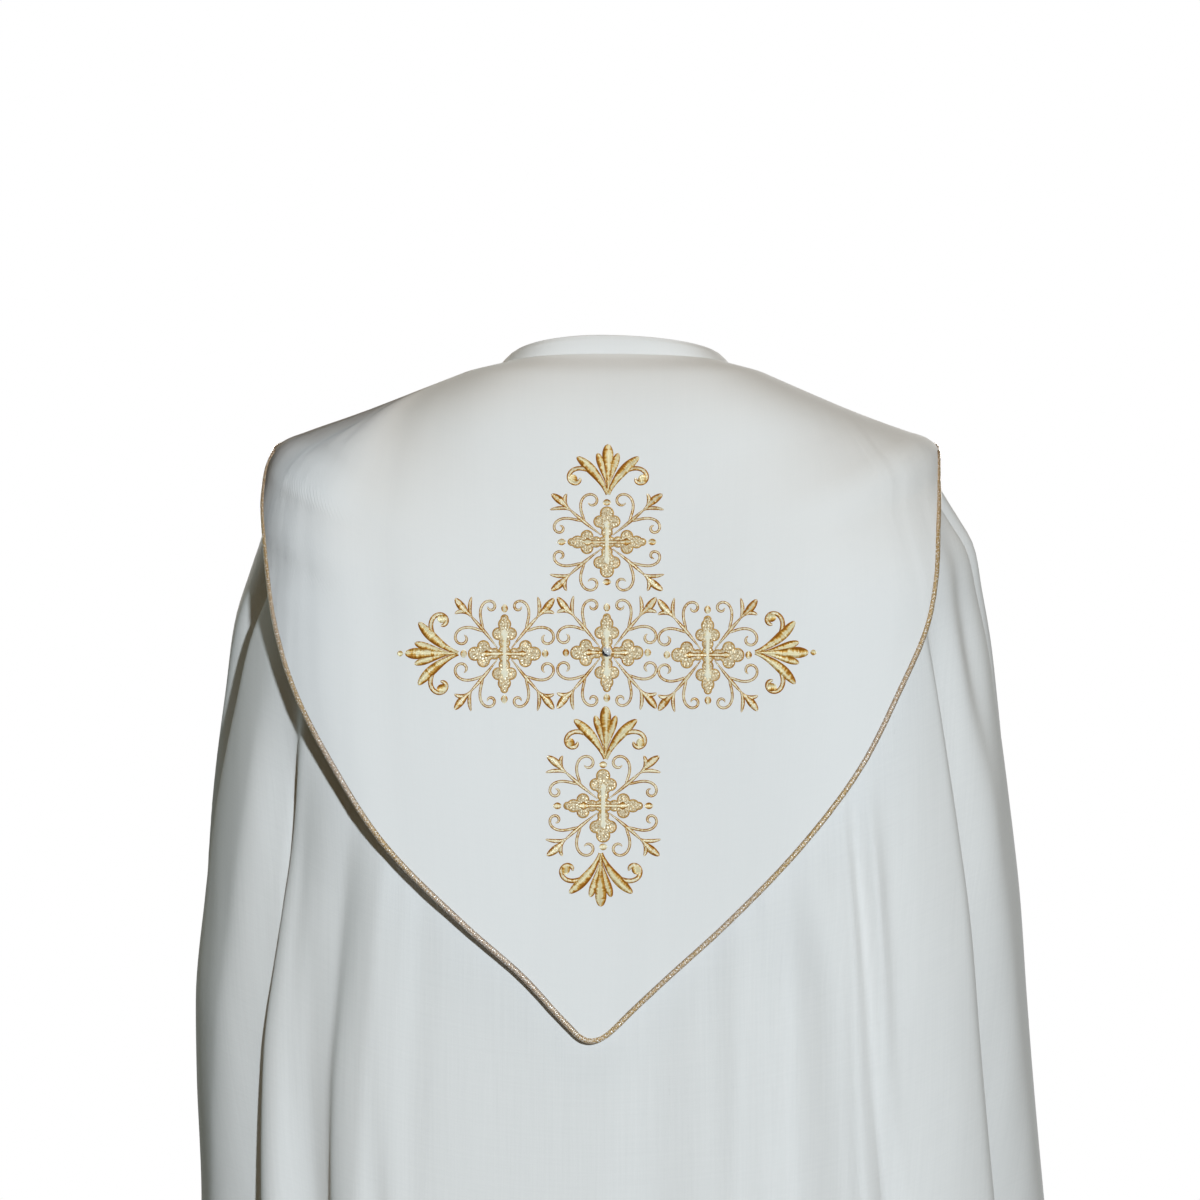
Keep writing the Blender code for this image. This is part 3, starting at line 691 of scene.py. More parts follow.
# Soft dents and swells of the hood: the middle's angle and cloth length, half sizes in metres, and height.
Dent = namedtuple("Dent", "angle s across down height")
DENTS = table(
    Dent,
    (-50.0, 0.192, 0.036, 0.045, -0.0036),
    (-38.0, 0.245, 0.024, 0.050, -0.0016),
    (50.0, 0.150, 0.045, 0.050, -0.0014),
    (52.0, 0.190, 0.045, 0.070, -0.0020),
    (-25.0, 0.330, 0.080, 0.120, 0.0015),
    (28.0, 0.300, 0.070, 0.110, 0.0015),
)


def hood_skin(angle, s):
    """The hood's outer surface with its soft dents."""
    relief = np.zeros(np.broadcast(angle, s).shape)
    for dent in DENTS:
        apart = np.radians(angle - dent.angle) * HOOD_ROUND / dent.across
        relief += dent.height * np.exp(-(apart**2) - ((s - dent.s) / dent.down) ** 2)
    return hood_surface(angle, s) + hull_directions(angle, s)[0] * relief[..., None]


def neck_to_edge(edge_angles, share):
    """A hood column's angle at that share of its length: even at the neck, on the outline at the edge."""
    neck_end = front_edge_angle(0.0)
    even = np.linspace(-neck_end, neck_end, len(edge_angles))
    at_neck = 0.5 * even + 0.5 * edge_angles * neck_end / np.abs(edge_angles).max()
    return at_neck + (edge_angles - at_neck) * ease(share * 1.2)


def make_hood(edge, cloth):
    share = np.linspace(0, 1, HOOD_ROWS + 1)[:, None]
    angles = neck_to_edge(edge[:, 0], share)
    levels = edge[:, 1] * share**HOOD_CROWDING
    outer = hood_skin(angles, levels)
    inner = outer - grid_normals(outer) * HOOD_CLOTH
    run = np.array([run_along(row) for row in outer])
    middle = np.argmin(np.abs(edge[:, 0]))
    piece = sheet_mesh("hood_cloth", outer, inner, run - run[:, middle : middle + 1], levels, cloth)
    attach(piece, "root")
    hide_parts("hood")


EVENINGS = 12  # rounds of evening out


def evened(vectors):
    """Vectors along a line, each averaged with its neighbours."""
    for _ in range(EVENINGS):
        between = (vectors[:-2] + 2 * vectors[1:-1] + vectors[2:]) / 4
        vectors = np.concatenate([vectors[:1], between, vectors[-1:]])
    return vectors


def make_piping(edge, lame):
    """A round cord outside the hood's free edge, a little uneven in thickness."""
    rim = hood_skin(edge[:, 0], edge[:, 1])
    run = run_along(rim)
    even = np.linspace(0, run[-1], int(run[-1] / PIPING_STEP))
    rim = evened(at_stops(run, rim, even))
    outward = hull_directions(*at_stops(run, edge, even).T)[0]
    beyond = unit(evened(unit(np.cross(unit(np.gradient(rim, axis=0)), outward))))
    centre = rim + beyond * (PIPING_RADIUS + 0.0001) - outward * (HOOD_WALL - PIPING_RADIUS)
    along = unit(np.gradient(centre, axis=0))
    side = unit(beyond - along * np.sum(beyond * along, axis=1, keepdims=True))
    radius = PIPING_RADIUS * (1 + 0.04 * np.sin(even * 311.0) * np.sin(even * 97.0 + 1.0))
    turn = np.arange(0, -PIPING_SIDES, -1)[:, None] * 2 * math.pi / PIPING_SIDES
    ring = side[:, None] * np.cos(turn) + np.cross(along, side)[:, None] * np.sin(turn)
    rings = centre[:, None] + ring * radius[:, None, None]
    bar = closed_bar(rings, turn[:, 0] / (2 * math.pi) % 1, run_along(centre)[:, None])
    piece = mesh_object("hood_piping_lame", *bar, lame)
    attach(piece, "root")
    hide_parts("hood_piping")


def make_neck_band(cloth):
    """A folded stand band: a rounded top edge over the solid band's own section."""
    end = front_edge_angle(0.0)
    angles = np.linspace(-end, end, BAND_COLUMNS + 1)
    s = np.zeros(len(angles))
    rim = hull(angles, s)
    outward, _, down = hull_directions(angles, s)
    up = np.array([0, 0, 1.0])
    inward = unit(-rim * np.array([1, 1, 0]))
    sideways = np.sin(np.radians(angles))[:, None] ** 2
    height = BAND_HEIGHT + (BAND_SIDE_HEIGHT - BAND_HEIGHT) * sideways
    lean = BAND_LEAN + (BAND_SIDE_LEAN - BAND_LEAN) * sideways
    foot = rim - outward * 0.002 - down * SEAM_GAP
    bend = rim + outward * (HOOD_WALL + SEAM_GAP) - down * SEAM_GAP
    rise = up * height + inward * lean
    half = BAND_WALL / 2
    centre = bend + rise + inward * half - up * half
    sections = [foot]
    for share in (0.0, 0.05, 0.12, 0.3, 0.5, 0.7, 0.85):
        sections.append(bend + rise * share - inward * BAND_BULGE * math.sin(math.pi * share))
    for turn in np.radians(np.arange(0, 181, 30)):
        sections.append(centre - inward * half * math.cos(turn) + up * half * math.sin(turn))
    sections += [bend - down * BAND_WALL + rise * 0.1, foot - down * BAND_WALL]
    grid = np.stack(sections, axis=1)
    bar = closed_bar(grid, run_along(rim)[:, None], run_along(grid[0]))
    piece = mesh_object("neck_band_cloth", *bar, cloth)
    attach(piece, "root")
    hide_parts("neck_band")


def make_morse(cloth):
    """The tab across the fronts: a flat cloth tab, softly padded, with rounded corners and a sewn channel."""
    half_w, half_h = MORSE_WIDTH / 2 - MORSE_INSET, MORSE_HEIGHT / 2 - MORSE_INSET
    columns, rows = (np.linspace(-1, 1, count) for count in MORSE_GRID)
    x, y = np.meshgrid(half_w * columns, half_h * rows)
    # Rounded corners: the grid's outline is pulled in to a rounded rectangle.
    cx, cy = half_w - MORSE_CORNER, half_h - MORSE_CORNER
    dx, dy = np.maximum(np.abs(x) - cx, 0), np.maximum(np.abs(y) - cy, 0)
    reach = np.maximum(dx, dy) / np.maximum(np.hypot(dx, dy), 1e-9)
    shrink = np.where((dx > 0) & (dy > 0), reach, 1.0)
    x = np.sign(x) * (np.minimum(np.abs(x), cx) + dx * shrink)
    y = np.sign(y) * (np.minimum(np.abs(y), cy) + dy * shrink)
    levels = MORSE_LEVEL + MORSE_HEIGHT / 2 + y
    side_out = (outline("left", levels)[0] + outline("right", levels)[0]) / 2
    angles = 180 + np.degrees(np.arcsin(x / side_out))
    angles = np.where(angles > 180, angles - 360, angles)
    outward = hull_directions(angles, levels)[0]
    inner = hull(angles, levels) + outward * SEAM_GAP
    rim = np.minimum(half_w - np.abs(x), half_h - np.abs(y))
    pad = MORSE_EDGE + (MORSE_WALL - MORSE_EDGE) * np.sqrt(np.clip(rim / MORSE_PAD_RISE, 0, 1))
    depth, place, half = MORSE_CHANNEL
    channel = depth * np.exp(-(((rim - place) / half) ** 2))
    outer = inner + outward * (pad - channel)[..., None]
    piece = sheet_mesh("morse_cloth", outer, inner, x, y, cloth)
    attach(piece, "root")
    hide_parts("morse")


PAINTED_LIT_SIDE = math.radians(25)  # the side of the stone whose facets are painted bright, as painted reflections of the light
STONE_RINGS = ((0.0, 1.0, 0), (0.30, 1.0, 0), (0.72, 0.80, 0.5), (1.0, 0.52, 0))  # height, size and turn


def make_stone(crystal):
    """A round flat-backed stone: a table, star and kite facets, and a straight girdle."""
    angle, s = on_hood(CRYSTAL_DOWN, CRYSTAL_ACROSS)
    seat = hood_surface(angle, s)
    normal, right, _ = hull_directions(angle, s)
    up = np.cross(normal, right)
    flat, points = [], []
    for height, share, turned in STONE_RINGS:
        turn = (np.arange(8) + turned) * math.pi / 4
        ring = np.stack([np.cos(turn), np.sin(turn)], axis=1) * CRYSTAL_RADIUS * share
        flat.append(ring)
        points.append(seat + normal * (SEAM_GAP + height * CRYSTAL_HEIGHT) + ring @ np.stack([right, up]))
    flat = np.concatenate(flat)
    faces = [tuple(reversed(range(8))), tuple(range(24, 32))]
    for k in range(8):
        after = (k + 1) % 8
        faces += [(k, after, 8 + after, 8 + k), (8 + k, 8 + after, 16 + k), (24 + k, 16 + k, 24 + after)]
        faces += [(8 + after, 24 + after, 16 + k), (8 + after, 16 + after, 24 + after)]
    piece = mesh_object("crystal_cut", np.concatenate(points), faces, flat, crystal, True)
    # Painted reflections: the table and the facets towards the lit side are painted bright, those opposite
    # dark, with a random spread.
    middles = np.array([flat[list(face)].mean(axis=0) for face in faces])
    turned = np.arctan2(middles[:, 1], middles[:, 0]) - PAINTED_LIT_SIDE
    spread = np.random.default_rng(7).uniform(-0.35, 0.35, len(faces))
    lit = np.where(np.hypot(*middles.T) < 1e-4, 0.9, 0.5 + 0.45 * np.cos(turned) + spread)
    piece.data.attributes.new("facet", "FLOAT", "FACE").data.foreach_set("value", lit)
    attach(piece, "root")
    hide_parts("crystal")


# ---- the embroidery's place on the hood
CHART_STEP = 0.001
CHART_ACROSS = 0.19  # the chart reaches this far to each side of the cross's upright
CHART_DOWN = (0.056, 0.440, 0.002)  # levels of its first and last row below the neck seam, and their step
CHART_ANGLES = (-75, 75, 301)  # the skin is first laid out by these angles and cloth lengths
CHART_LEVELS = (0.02, 0.52, 501)


def hood_chart():
    """Points of the hood's skin on a grid of cloth lengths: down the cross's upright, then across."""
    skin = hood_skin(*np.meshgrid(np.linspace(*CHART_ANGLES), np.linspace(*CHART_LEVELS)))
    downs = np.arange(*CHART_DOWN)
    # Where each angle's column meets each level, then where each level's row meets each distance across.
    rows = np.stack([at_stops(-column[:, 2], column, downs) for column in skin.transpose(1, 0, 2)], axis=1)
    down_run = run_along(np.array([at_stops(row[:, 0], row, CRYSTAL_ACROSS) for row in rows]))
    across = np.arange(-CHART_ACROSS, CHART_ACROSS, CHART_STEP)
    even_rows = []
    for row in rows:
        run = run_along(row)
        even_rows.append(at_stops(run - np.interp(CRYSTAL_ACROSS, row[:, 0], run), row, across))
    even_rows = np.array(even_rows)
    place = np.interp(np.arange(0, down_run[-1], CHART_STEP), down_run, np.arange(len(down_run)))
    low = np.minimum(place.astype(int), len(rows) - 2)
    part = (place - low)[:, None, None]
    grid = even_rows[low] * (1 - part) + even_rows[low + 1] * part
    return grid, grid_normals(grid), np.interp(CRYSTAL_DOWN, downs, down_run)


def on_chart(chart, across, down, height):
    """Points at lengths across and down from the stone, and a height above the hood's skin."""
    grid, normals, origin = chart
    column = np.clip((across + CHART_ACROSS) / CHART_STEP, 0, grid.shape[1] - 1.001)
    row = np.clip((down + origin) / CHART_STEP, 0, grid.shape[0] - 1.001)
    c, r = column.astype(int), row.astype(int)
    fc, fr = (column - c)[..., None], (row - r)[..., None]

    def blend(table):
        upper = table[r, c] * (1 - fc) + table[r, c + 1] * fc
        lower = table[r + 1, c] * (1 - fc) + table[r + 1, c + 1] * fc
        return upper * (1 - fr) + lower * fr

    return blend(grid) + unit(blend(normals)) * np.asarray(height)[..., None]


# ---- embroidery motifs
# Motif sizes are in units of one 1360th of a metre, on axes with +x across and +y up from the motif's middle.
UNIT = 1 / 1360
Motif = namedtuple("Motif", "name kind across down turned")
MOTIFS = table(
    Motif,
    ("middle", "module", 0.0000, 0.0006, 0),
    ("left", "module", -0.0752, 0.0013, 0),
    ("right", "module", 0.0741, 0.0022, 0),
    ("top", "module", 0.0001, -0.0818, 90),
    ("bottom", "module", -0.0027, 0.1129, 90),
    ("top_palm", "palmette", 0.0008, -0.1178, 0),
    ("middle_palm", "palmette", -0.0010, 0.0788, 0),
    ("bottom_palm", "palmette", -0.0044, 0.1475, 180),
    ("left_palm", "palmette", -0.1092, 0.0011, 90),
    ("right_palm", "palmette", 0.1090, 0.0003, -90),
)

# Scrolls that curl in: where they start, their first heading, how far they turn, how late, and their length.
Scroll = namedtuple("Scroll", "x y heading turn lateness length half height")
MODULE_SCROLLS = (
    Scroll(21, 24, 74.5, 385, 2.78, 54, 1.55, 0.00050),
    Scroll(21, 22, 22.4, -359, 2.25, 57, 1.55, 0.00050),
)
PALMETTE_SCROLL = Scroll(17, 24.5, 22, -300, 1.9, 46, 2.6, 0.00065)

# Leaves and stems: from the first point to the last, drawn towards the middle one. groove is the depth of the
# furrow down the middle, as a share of the height, and root the share of its width that a leaf starts with.
Leaf = namedtuple("Leaf", "x0 y0 x1 y1 x2 y2 half widest height groove root", defaults=(0.35,))
MODULE_LEAVES = table(
    Leaf,
    (7.0, 5.5, 20.0, 23.0, 35.0, 39.0, 1.85, 0.55, 0.00060, 0.15),
    (31.5, 35.0, 37.5, 43.0, 33.0, 57.5, 2.10, 0.60, 0.00060, 0.15),
    (34.5, 39.0, 42.0, 44.5, 49.5, 56.0, 4.10, 0.60, 0.00085, 0.15),
    (33.5, 37.0, 42.0, 46.0, 50.0, 40.0, 2.30, 0.60, 0.00065, 0.15),
)
PALMETTE_LEAVES = table(
    Leaf,
    (0.5, 0.0, 8.5, 22.0, 31.5, 39.5, 5.20, 0.70, 0.00120, 0.30),
    (0.3, 8.0, 4.5, 26.0, 10.6, 43.5, 4.00, 0.74, 0.00100, 0.30, 0.3),
)
PALMETTE_BUD = Leaf(0.0, 2.0, 0.0, 26.0, 0.0, 53.0, 5.80, 0.80, 0.00125, 0.25, 0.2)

# Beads: middle, half sizes across and up, how far they stand out, and how pointed their ends are.
Bead = namedtuple("Bead", "x y half_x half_y height point", defaults=(0.5,))
MODULE_BEADS = (Bead(40.8, 0.0, 3.6, 4.4, 0.00055), Bead(0.0, 45.4, 3.6, 4.6, 0.00055))
PALMETTE_BEAD = Bead(35.3, 16.0, 5.0, 5.2, 0.0009, 0.0)
END_BEAD = Bead(0.0, 57.6, 3.0, 3.2, 0.0006)  # beyond the tips of the two side palmettes

# Lobes of a module's net-stitched cross, in one quadrant: middle and radius.
Lobe = namedtuple("Lobe", "x y radius")
LOBES = table(
    Lobe,
    (0, 3, 5.0), (0, 11, 5.0), (0, 20, 7.5), (6.0, 20.0, 5.6), (0, 29.5, 5.8), (0, 35.5, 3.2), (10, 0, 5.0),
    (19, 0, 7.5), (21.0, 7.2, 5.6), (29.5, 0, 6.3),
)
LOBE_BLEND = 2.0  # how softly the lobes run into one another
NET_HEIGHT = 0.00028
NET_STEP, NET_REACH = 0.7, 42  # the patch's grid
RIM_HEIGHT = 0.00042
NET_SLOPE = 1.3  # the width of its sloping edge
NET_CLEAR = 0.00003  # how far its edge lies above the cloth
NET_NUDGE = 0.05  # how far apart its slope is measured
RIM_POINTS = 120  # round a whole lobe
RIM_OVERLAP = 0.15  # how far the outlines of two lobes run into one another
RIM_SHORTEST = 5  # an arc with so few points is left out

# The satin cross on it: half widths along an arm from the middle outwards.
LONG_ARM = ((0, 2.5), (9, 2.2), (15, 2.3), (19.5, 4.3), (22.5, 2.6), (26.0, 0.2))
SHORT_ARM = ((0, 2.5), (9, 2.3), (15, 2.5), (18.0, 3.6), (20.5, 2.4), (22.5, 0.2))
CROSS_HEIGHT = 0.00095
CROSS_BORDER = 1.4  # how far the outline stitching shows round it
CROSS_ROUNDNESS = 0.3
CROSS_TIP = 0.15
SUNK = 0.00012  # how deep the edges of the stitching lie in the cloth
THREAD_START = 0.013  # from one stroke's start on its thread to the next one's
GROOVE_HALF = 0.15  # half the width of the furrow, where a stroke's own half is 1

PROFILE = np.array((-1, -0.8, -0.5, -0.2, 0, 0.2, 0.5, 0.8, 1))  # across a stroke
BEAD_RINGS = np.array((1.0, 0.9, 0.7, 0.45, 0.15))[:, None]


def scroll_path(scroll):
    """Points of a curl whose heading turns faster towards its end."""
    t = (np.arange(int(scroll.length * 1.1)) + 0.5) / int(scroll.length * 1.1)
    heading = np.radians(scroll.heading + scroll.turn * t**scroll.lateness)
    step = scroll.length / len(t)
    path = np.cumsum(np.stack([np.cos(heading), np.sin(heading)], axis=1), axis=0) * step
    return np.concatenate([[[0, 0]], path]) + (scroll.x, scroll.y)


def scroll_widths(scroll, count):
    t = np.linspace(0, 1, count)
    return scroll.half * smooth([0, 0.12, 0.7, 0.93, 1], [0.55, 1, 0.92, 0.85, 0.3], t)


def leaf_path(leaf):
    start, pull, end = np.array([[leaf.x0, leaf.y0], [leaf.x1, leaf.y1], [leaf.x2, leaf.y2]])
    count = max(10, int(np.linalg.norm(end - start) * 0.9))
    t = np.linspace(0, 1, count)[:, None]
    return start * (1 - t) ** 2 + pull * 2 * t * (1 - t) + end * t**2


def leaf_widths(leaf, count):
    """Narrow at the start, widest at its share of the length, and pointed at the end."""
    t = np.linspace(0, 1, count)
    rise = leaf.root + (1 - leaf.root) * ease(t / leaf.widest)
    fall = np.sqrt(np.clip(1 - np.clip((t - leaf.widest) / (1 - leaf.widest), 0, 1) ** 1.7, 0.0, 1))
    return leaf.half * rise * fall + 0.08


class Needle:
    """Lays stitches on the hood in one motif's own axes, and keeps them by thread."""

    def __init__(self, chart):
        self.chart = chart
        self.motif = None
        self.sewn = {}

    def place(self, x, y, height):
        turn = math.radians(self.motif.turned)
        across = x * math.cos(turn) - y * math.sin(turn)
        up = x * math.sin(turn) + y * math.cos(turn)
        return on_chart(self.chart, self.motif.across + across * UNIT, self.motif.down - up * UNIT, height)

    def sew(self, thread, x, y, rise, across, along, more=0):
        """Keeps a closed bar of stitching, its faces turned outwards, with its UV across and along."""
        strokes = self.sewn.setdefault(thread, [])
        along = along + THREAD_START * len(strokes)
        points, faces, uv = closed_bar(self.place(x, y, rise), across, along, more)
        a, b, c, d = (points - points.mean(axis=0))[faces].transpose(1, 0, 2)
        volume = np.sum(a * (np.cross(b, c) + np.cross(c, d)))
        strokes.append((points, faces[:, ::-1] if volume < 0 else faces, uv))

    def stroke(self, thread, path, half, height, groove=0.0, roundness=0.6):
        """Padded satin stitching along a path, domed across, with its edges sunk in the cloth."""
        along = unit(np.gradient(path, axis=0))
        side = np.stack([-along[:, 1], along[:, 0]], axis=1)
        half = np.broadcast_to(half, (len(path),))[:, None]
        x, y = (path[:, None] + side[:, None] * (half * PROFILE)[..., None]).transpose(2, 0, 1)
        dome = np.clip(1 - np.abs(PROFILE) ** 2.4, 0, 1) ** roundness
        dome -= groove * np.exp(-((PROFILE / GROOVE_HALF) ** 2))
        rise = height * np.sqrt(half / half.max()) * dome - SUNK
        self.sew(thread, x, y, rise, PROFILE / 2 + 0.5, run_along(path)[:, None] * UNIT, 1)

    def scroll(self, scroll, signs):
        path = scroll_path(scroll) * signs
        self.stroke("satin", path, scroll_widths(scroll, len(path)), scroll.height)

    def leaf(self, thread, leaf, signs):
        path = leaf_path(leaf) * signs
        self.stroke(thread, path, leaf_widths(leaf, len(path)), leaf.height, leaf.groove)

    def bead(self, thread, bead, signs):
        """A small domed oval."""
        turn = np.linspace(0, 2 * math.pi, 25)[:-1]
        over = BEAD_RINGS * np.cos(turn)
        x = bead.x * signs[0] + bead.half_x * over * np.abs(np.cos(turn)) ** bead.point
        y = bead.y * signs[1] + bead.half_y * BEAD_RINGS * np.sin(turn)
        rise = bead.height * np.sqrt(1 - BEAD_RINGS**2) - SUNK
        self.sew(thread, x, y, rise, 0.5 + 0.4 * over, y * UNIT)


def lobes_of_cross():
    return [
        (sx * lobe.x, sy * lobe.y, lobe.radius)
        for lobe in LOBES
        for sx in ((1, -1) if lobe.x else (1,))
        for sy in ((1, -1) if lobe.y else (1,))
    ]


def depth_in_net(x, y):
    """How far a point lies inside the lobed cross, its lobes blended."""
    inside = np.stack([r - np.hypot(x - cx, y - cy) for cx, cy, r in lobes_of_cross()])
    top = inside.max(axis=0)
    return top + LOBE_BLEND * 0.25 * np.log(np.exp((inside - top) / (LOBE_BLEND * 0.25)).sum(axis=0))


def net_patch(needle):
    """The lobed cross as a thin raised patch: the grid cells inside it, the outer ones pulled to its edge."""
    line = np.arange(-NET_REACH, NET_REACH + NET_STEP / 2, NET_STEP)
    x, y = np.meshgrid(line, line)
    for _ in range(3):
        depth = depth_in_net(x, y)
        gx = (depth_in_net(x + NET_NUDGE, y) - depth) / NET_NUDGE
        gy = (depth_in_net(x, y + NET_NUDGE) - depth) / NET_NUDGE
        size = np.maximum(gx * gx + gy * gy, 0.2)
        pull = np.where(depth < 0, depth, 0) * (depth > -1.6 * NET_STEP)
        x, y = x - gx / size * pull, y - gy / size * pull
    x, y, depth = x.ravel(), y.ravel(), depth_in_net(x, y).ravel()
    cells = quads(np.arange(x.size).reshape(len(line), len(line)).T)
    cells = cells[(depth > -0.02)[cells].all(axis=1)]
    used, faces = np.unique(cells, return_inverse=True)
    x, y, depth = x[used], y[used], np.clip(depth[used], 0, None)
    points = needle.place(x, y, NET_HEIGHT * ease(depth / NET_SLOPE) + NET_CLEAR)
    uv = np.stack([x, y], axis=1) * UNIT
    needle.sewn.setdefault("net", []).append((points, faces.reshape(-1, 4), uv))


def net_rim(needle, inside, half):
    """A fine outline along the free arcs of the lobed cross, or as far inside it."""
    lobes = [(cx, cy, r - inside) for cx, cy, r in lobes_of_cross() if r > 2 * inside]
    turn = np.arange(RIM_POINTS) * 2 * math.pi / RIM_POINTS
    for lobe in lobes:
        x, y = lobe[0] + lobe[2] * np.cos(turn), lobe[1] + lobe[2] * np.sin(turn)
        beyond = [np.hypot(x - cx, y - cy) - r for cx, cy, r in lobes if (cx, cy, r) != lobe]
        free = np.min(beyond, axis=0) > -RIM_OVERLAP
        if free.all() or not free.any():
            continue
        order = (np.argmin(free) + np.arange(RIM_POINTS)) % RIM_POINTS
        for run in np.split(order, np.flatnonzero(~free[order])):
            run = run[free[run]]
            if len(run) > RIM_SHORTEST:
                needle.stroke("edge", np.stack([x[run], y[run]], axis=1)[::2], half, RIM_HEIGHT)


def sew_module(needle):
    net_patch(needle)
    for inside, half in ((0.0, 0.95), (2.7, 0.55)):
        net_rim(needle, inside, half)
    for signs in ((1, 1), (1, -1), (-1, 1), (-1, -1)):
        for scroll in MODULE_SCROLLS:
            needle.scroll(scroll, signs)
        for leaf in MODULE_LEAVES:
            needle.leaf("satin", leaf, signs)
    for bead in MODULE_BEADS:
        for sign in (1, -1):
            needle.bead("satin", bead, (sign, sign))
    # The upright arm is sewn in a brighter copy of the satin thread, a painted highlight for the light it
    # catches, whichever way the motif is turned.
    threads = ("painted_highlight", "satin") if needle.motif.turned == 90 else ("satin", "painted_highlight")
    for arm, axis, thread in ((SHORT_ARM, 0, threads[0]), (LONG_ARM, 1, threads[1])):
        stops, halves = np.array(arm, float).T
        for sign in (1, -1):
            line = np.linspace(0, stops[-1], int(stops[-1] * 1.5))
            path = np.zeros((len(line), 2))
            path[:, axis] = line * sign
            half = np.maximum(smooth(stops, halves, line), CROSS_TIP)
            height = CROSS_HEIGHT * (1.0 if thread == "painted_highlight" else 0.9)
            needle.stroke("edge", path, half + CROSS_BORDER, CROSS_HEIGHT * 0.55, roundness=CROSS_ROUNDNESS)
            needle.stroke(thread, path, half, height, roundness=CROSS_ROUNDNESS)


def sew_palmette(needle):
    for signs in ((1, 1), (-1, 1)):
        needle.scroll(PALMETTE_SCROLL, signs)
        needle.bead("leaf", PALMETTE_BEAD, signs)
        for leaf in PALMETTE_LEAVES:
            needle.leaf("leaf", leaf, signs)
    needle.leaf("leaf", PALMETTE_BUD, (1, 1))
    if abs(needle.motif.turned) == 90:
        needle.bead("leaf", END_BEAD, (1, 1))


def join(parts):
    """One (points, faces, uv) from several."""
    points, faces, uvs = zip(*parts)
    starts = np.cumsum([0] + [len(part) for part in points])
    faces = [part + start for part, start in zip(faces, starts)]
    return np.concatenate(points), np.concatenate(faces), np.concatenate(uvs)


def make_embroidery():
    needle = Needle(hood_chart())
    for motif in MOTIFS:
        needle.motif = motif
        {"module": sew_module, "palmette": sew_palmette}[motif.kind](needle)
    # In each gold thread the pale colour is its painted highlight and the deep one its painted shade at the
    # edges; the crosses' upright arms use a brighter copy of the satin colours as a painted highlight.
    cream, gold, amber = (1.0, 0.90, 0.57), (0.78, 0.44, 0.09), (0.42, 0.15, 0.011)
    painted_highlight = (1.0, 0.97, 0.80), (1.0, 0.85, 0.50)
    tan, brown = (0.74, 0.46, 0.15), (0.42, 0.18, 0.028)
    satin, leaf = ((1.0, 0.91, 0.65), (0.79, 0.47, 0.13)), (cream, (0.77, 0.43, 0.075))
    threads = {
        "satin": ("embroidery_scrolls", gold_thread("satin_thread", 0.4, *satin, amber)),
        "leaf": ("embroidery_palmettes", gold_thread("leaf_thread", 1.3, *leaf, amber, 0.40, 2.2)),
        "painted_highlight": ("embroidery_crosses", gold_thread("painted_highlight_thread", 0.3, *painted_highlight, gold, 0.5, 0.8, 0.05)),
        "edge": ("embroidery_outlines", gold_thread("edge_thread", 0.5, tan, brown, amber, 0.5, 1.8)),
        "net": ("embroidery_net", net_stitch("net_thread", (1.0, 0.91, 0.68), (0.47, 0.28, 0.10))),
    }
    for thread, (name, surface) in threads.items():
        piece = mesh_object(name, *join(needle.sewn[thread]), surface)
        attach(piece, "root")


# ---- the camera, the light and the floor
CAMERA = (0, -2.85, -0.184)
LENS, SENSOR = 110.0, 36.0
FLOOR_LEVEL, FLOOR_RADIUS, FLOOR_SIDES = -1.57, 4.2, 96

# Each light: name, place, what it faces, size, watts and colour.
AMBIENT, AMBIENT_COLOUR = 0.08, (1.0, 0.66, 0.06, 1)
LIGHTS = (
    ("key_light", (0.62, -3.30, 0.20), (0, 0, -0.35), 0.14, 96.0, (0.805, 0.915, 1.0)),
    ("side_light", (-2.90, 0.85, 0.20), (0, 0, -0.40), 0.8, 11.5, (0.54, 0.83, 1.0)),
    ("top_light", (0.15, -0.25, 2.4), (0, 0, 0), 1.6, 12.0, (1.0, 0.84, 0.70)),
    ("front_light_1", (0.95, 3.2, 0.3), (0, 0, -0.6), 1.0, 42.0, (1.0, 0.99, 0.97)),
    ("front_light_2", (-0.95, 3.2, 0.3), (0, 0, -0.6), 1.0, 42.0, (1.0, 0.99, 0.97)),
)
FLOOR_LIGHT = ("floor_light", (0, 0, 3.4), (0, 0, -1.5), 3.0, 260.0, (1.0, 1.0, 1.0))


def area_light(name, place, target, size, power, colour):
    data = bpy.data.lights.new(name, "AREA")
    data.shape, data.size, data.energy, data.color = "DISK", size, power, colour
    light = add_object(name, data)
    light.location = place
    light.rotation_euler = (Vector(target) - Vector(place)).to_track_quat("-Z", "Y").to_euler()
    return light


def make_floor():
    """A wide disc of pale paper, which throws little light back up, as if it lay far below."""
    turns = [2 * math.pi * k / FLOOR_SIDES for k in range(FLOOR_SIDES)]
    ring = [(FLOOR_RADIUS * math.cos(turn), FLOOR_RADIUS * math.sin(turn), FLOOR_LEVEL) for turn in turns]
    mesh = bpy.data.meshes.new("floor")
    mesh.from_pydata(ring, [], [tuple(range(len(ring)))])
    paper = Nodes("floor_paper", (0.80, 0.80, 0.79), 0.9)
    grain = paper.noise(paper.add("ShaderNodeTexCoord").outputs["Object"], 3.0, 0.5, 3.0)
    pale = paper.ramp(grain, (0.3, (0.78, 0.78, 0.77)), (0.7, (0.82, 0.82, 0.81)))
    seen = paper.add("ShaderNodeLightPath").outputs["Is Camera Ray"]
    mesh.materials.append(paper.use(Base_Color=paper.mix(seen, (0.05, 0.05, 0.05), pale)))
    floor = add_object("floor", mesh)
    return floor


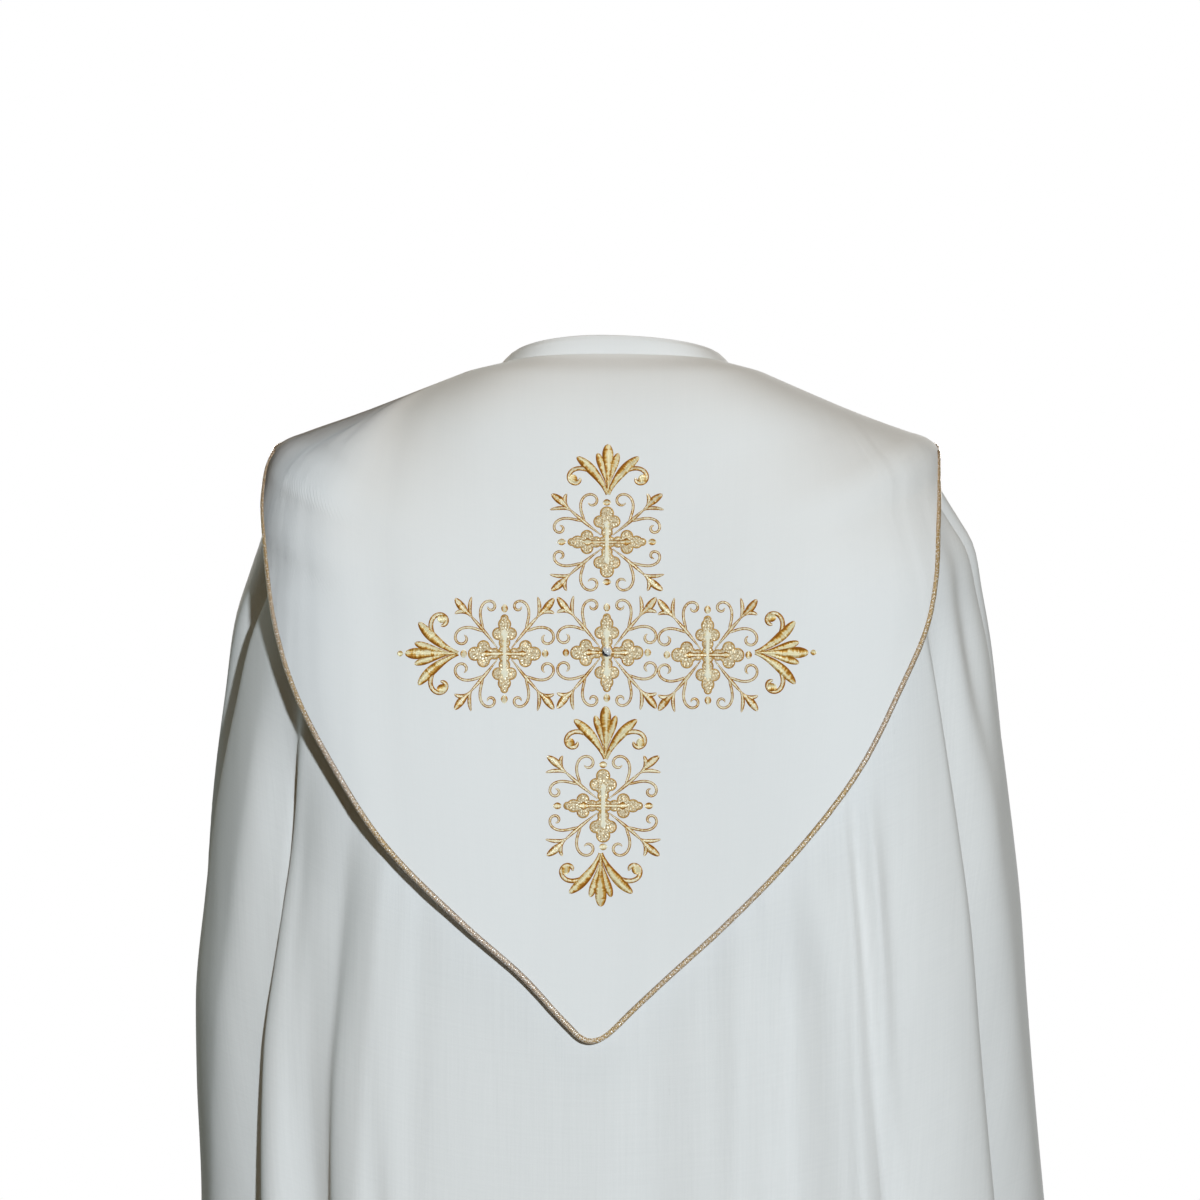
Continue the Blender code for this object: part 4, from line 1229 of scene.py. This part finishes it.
def make_world():
    """White behind the cope, and only a faint warm light from all round."""
    world = bpy.data.worlds.new("studio")
    bpy.context.scene.world = world
    world.use_nodes = True
    tree = world.node_tree
    seen = tree.nodes.new("ShaderNodeLightPath").outputs["Is Camera Ray"]
    choose = tree.nodes.new("ShaderNodeMixShader")
    tree.links.new(seen, choose.inputs["Fac"])
    ambient = (tree.nodes.new("ShaderNodeBackground"), AMBIENT_COLOUR, AMBIENT)
    shown = (tree.nodes["Background"], (1, 1, 1, 1), 1.0)
    for slot, (node, colour, strength) in enumerate((ambient, shown), 1):
        node.inputs["Color"].default_value = colour
        node.inputs["Strength"].default_value = strength
        tree.links.new(node.outputs["Background"], choose.inputs[slot])
    tree.links.new(choose.outputs["Shader"], tree.nodes["World Output"].inputs["Surface"])


def make_stage():
    bpy.context.scene.view_settings.view_transform = "Standard"
    camera = add_object("camera", bpy.data.cameras.new("camera"))
    camera.location = CAMERA
    camera.rotation_euler = (math.pi / 2, 0, 0)
    camera.data.sensor_width, camera.data.lens = SENSOR, LENS
    bpy.context.scene.camera = camera
    floor = make_floor()
    make_world()
    for light in LIGHTS:
        area_light(*light)
    only_floor = bpy.data.collections.new("floor_only")
    only_floor.objects.link(floor)
    area_light(*FLOOR_LIGHT).light_linking.receiver_collection = only_floor


# Each sheet of cloth as it was cut: its widest and longest, its flat area, how it is held, and by what.
Cut = namedtuple("Cut", "piece width length area held rests_on")
CUTS = table(
    Cut,
    ("back_panel_cloth", 2.29, 1.46, 1.92, "draped", ("neck_band_cloth",)),
    ("front_right_cloth", 0.69, 1.46, 0.63, "draped", ("neck_band_cloth",)),
    ("front_left_cloth", 0.68, 1.46, 0.61, "draped", ("neck_band_cloth",)),
    ("hood_cloth", 0.78, 0.54, 0.27, "draped", ("back_panel_cloth", "neck_band_cloth")),
    ("neck_band_cloth", 0.52, 0.019, None, "folded", ("back_panel_cloth",)),
    ("morse_cloth", 0.12, 0.055, None, "laid", ("front_right_cloth", "front_left_cloth")),
)


def main():
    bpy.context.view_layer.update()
    make_stage()
    ivory = woven_cloth("ivory_cloth", (0.820, 0.792, 0.766), 0.00055, 0.035, 0.00012)
    hood_ivory = woven_cloth("hood_cloth", (0.850, 0.824, 0.800), 0.00045, 0.012, 0.00005, 0.002, -0.19)
    band_ivory = woven_cloth("band_cloth", (0.835, 0.805, 0.780), 0.00045, 0.012, 0.00005, 0.001)
    lame = lame_piping("lame")
    make_cloak(ivory)
    edge = hood_edge()
    make_hood(edge, hood_ivory)
    make_piping(edge, lame)
    make_neck_band(band_ivory)
    make_morse(band_ivory)
    make_embroidery()
    make_stone(cut_stone("cut_crystal"))


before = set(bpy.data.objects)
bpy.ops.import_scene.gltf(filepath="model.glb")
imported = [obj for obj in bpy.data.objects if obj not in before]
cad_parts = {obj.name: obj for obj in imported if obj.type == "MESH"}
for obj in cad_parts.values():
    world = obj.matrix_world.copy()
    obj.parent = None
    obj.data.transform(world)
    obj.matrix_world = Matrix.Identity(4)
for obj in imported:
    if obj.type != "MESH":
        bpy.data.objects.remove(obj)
main()
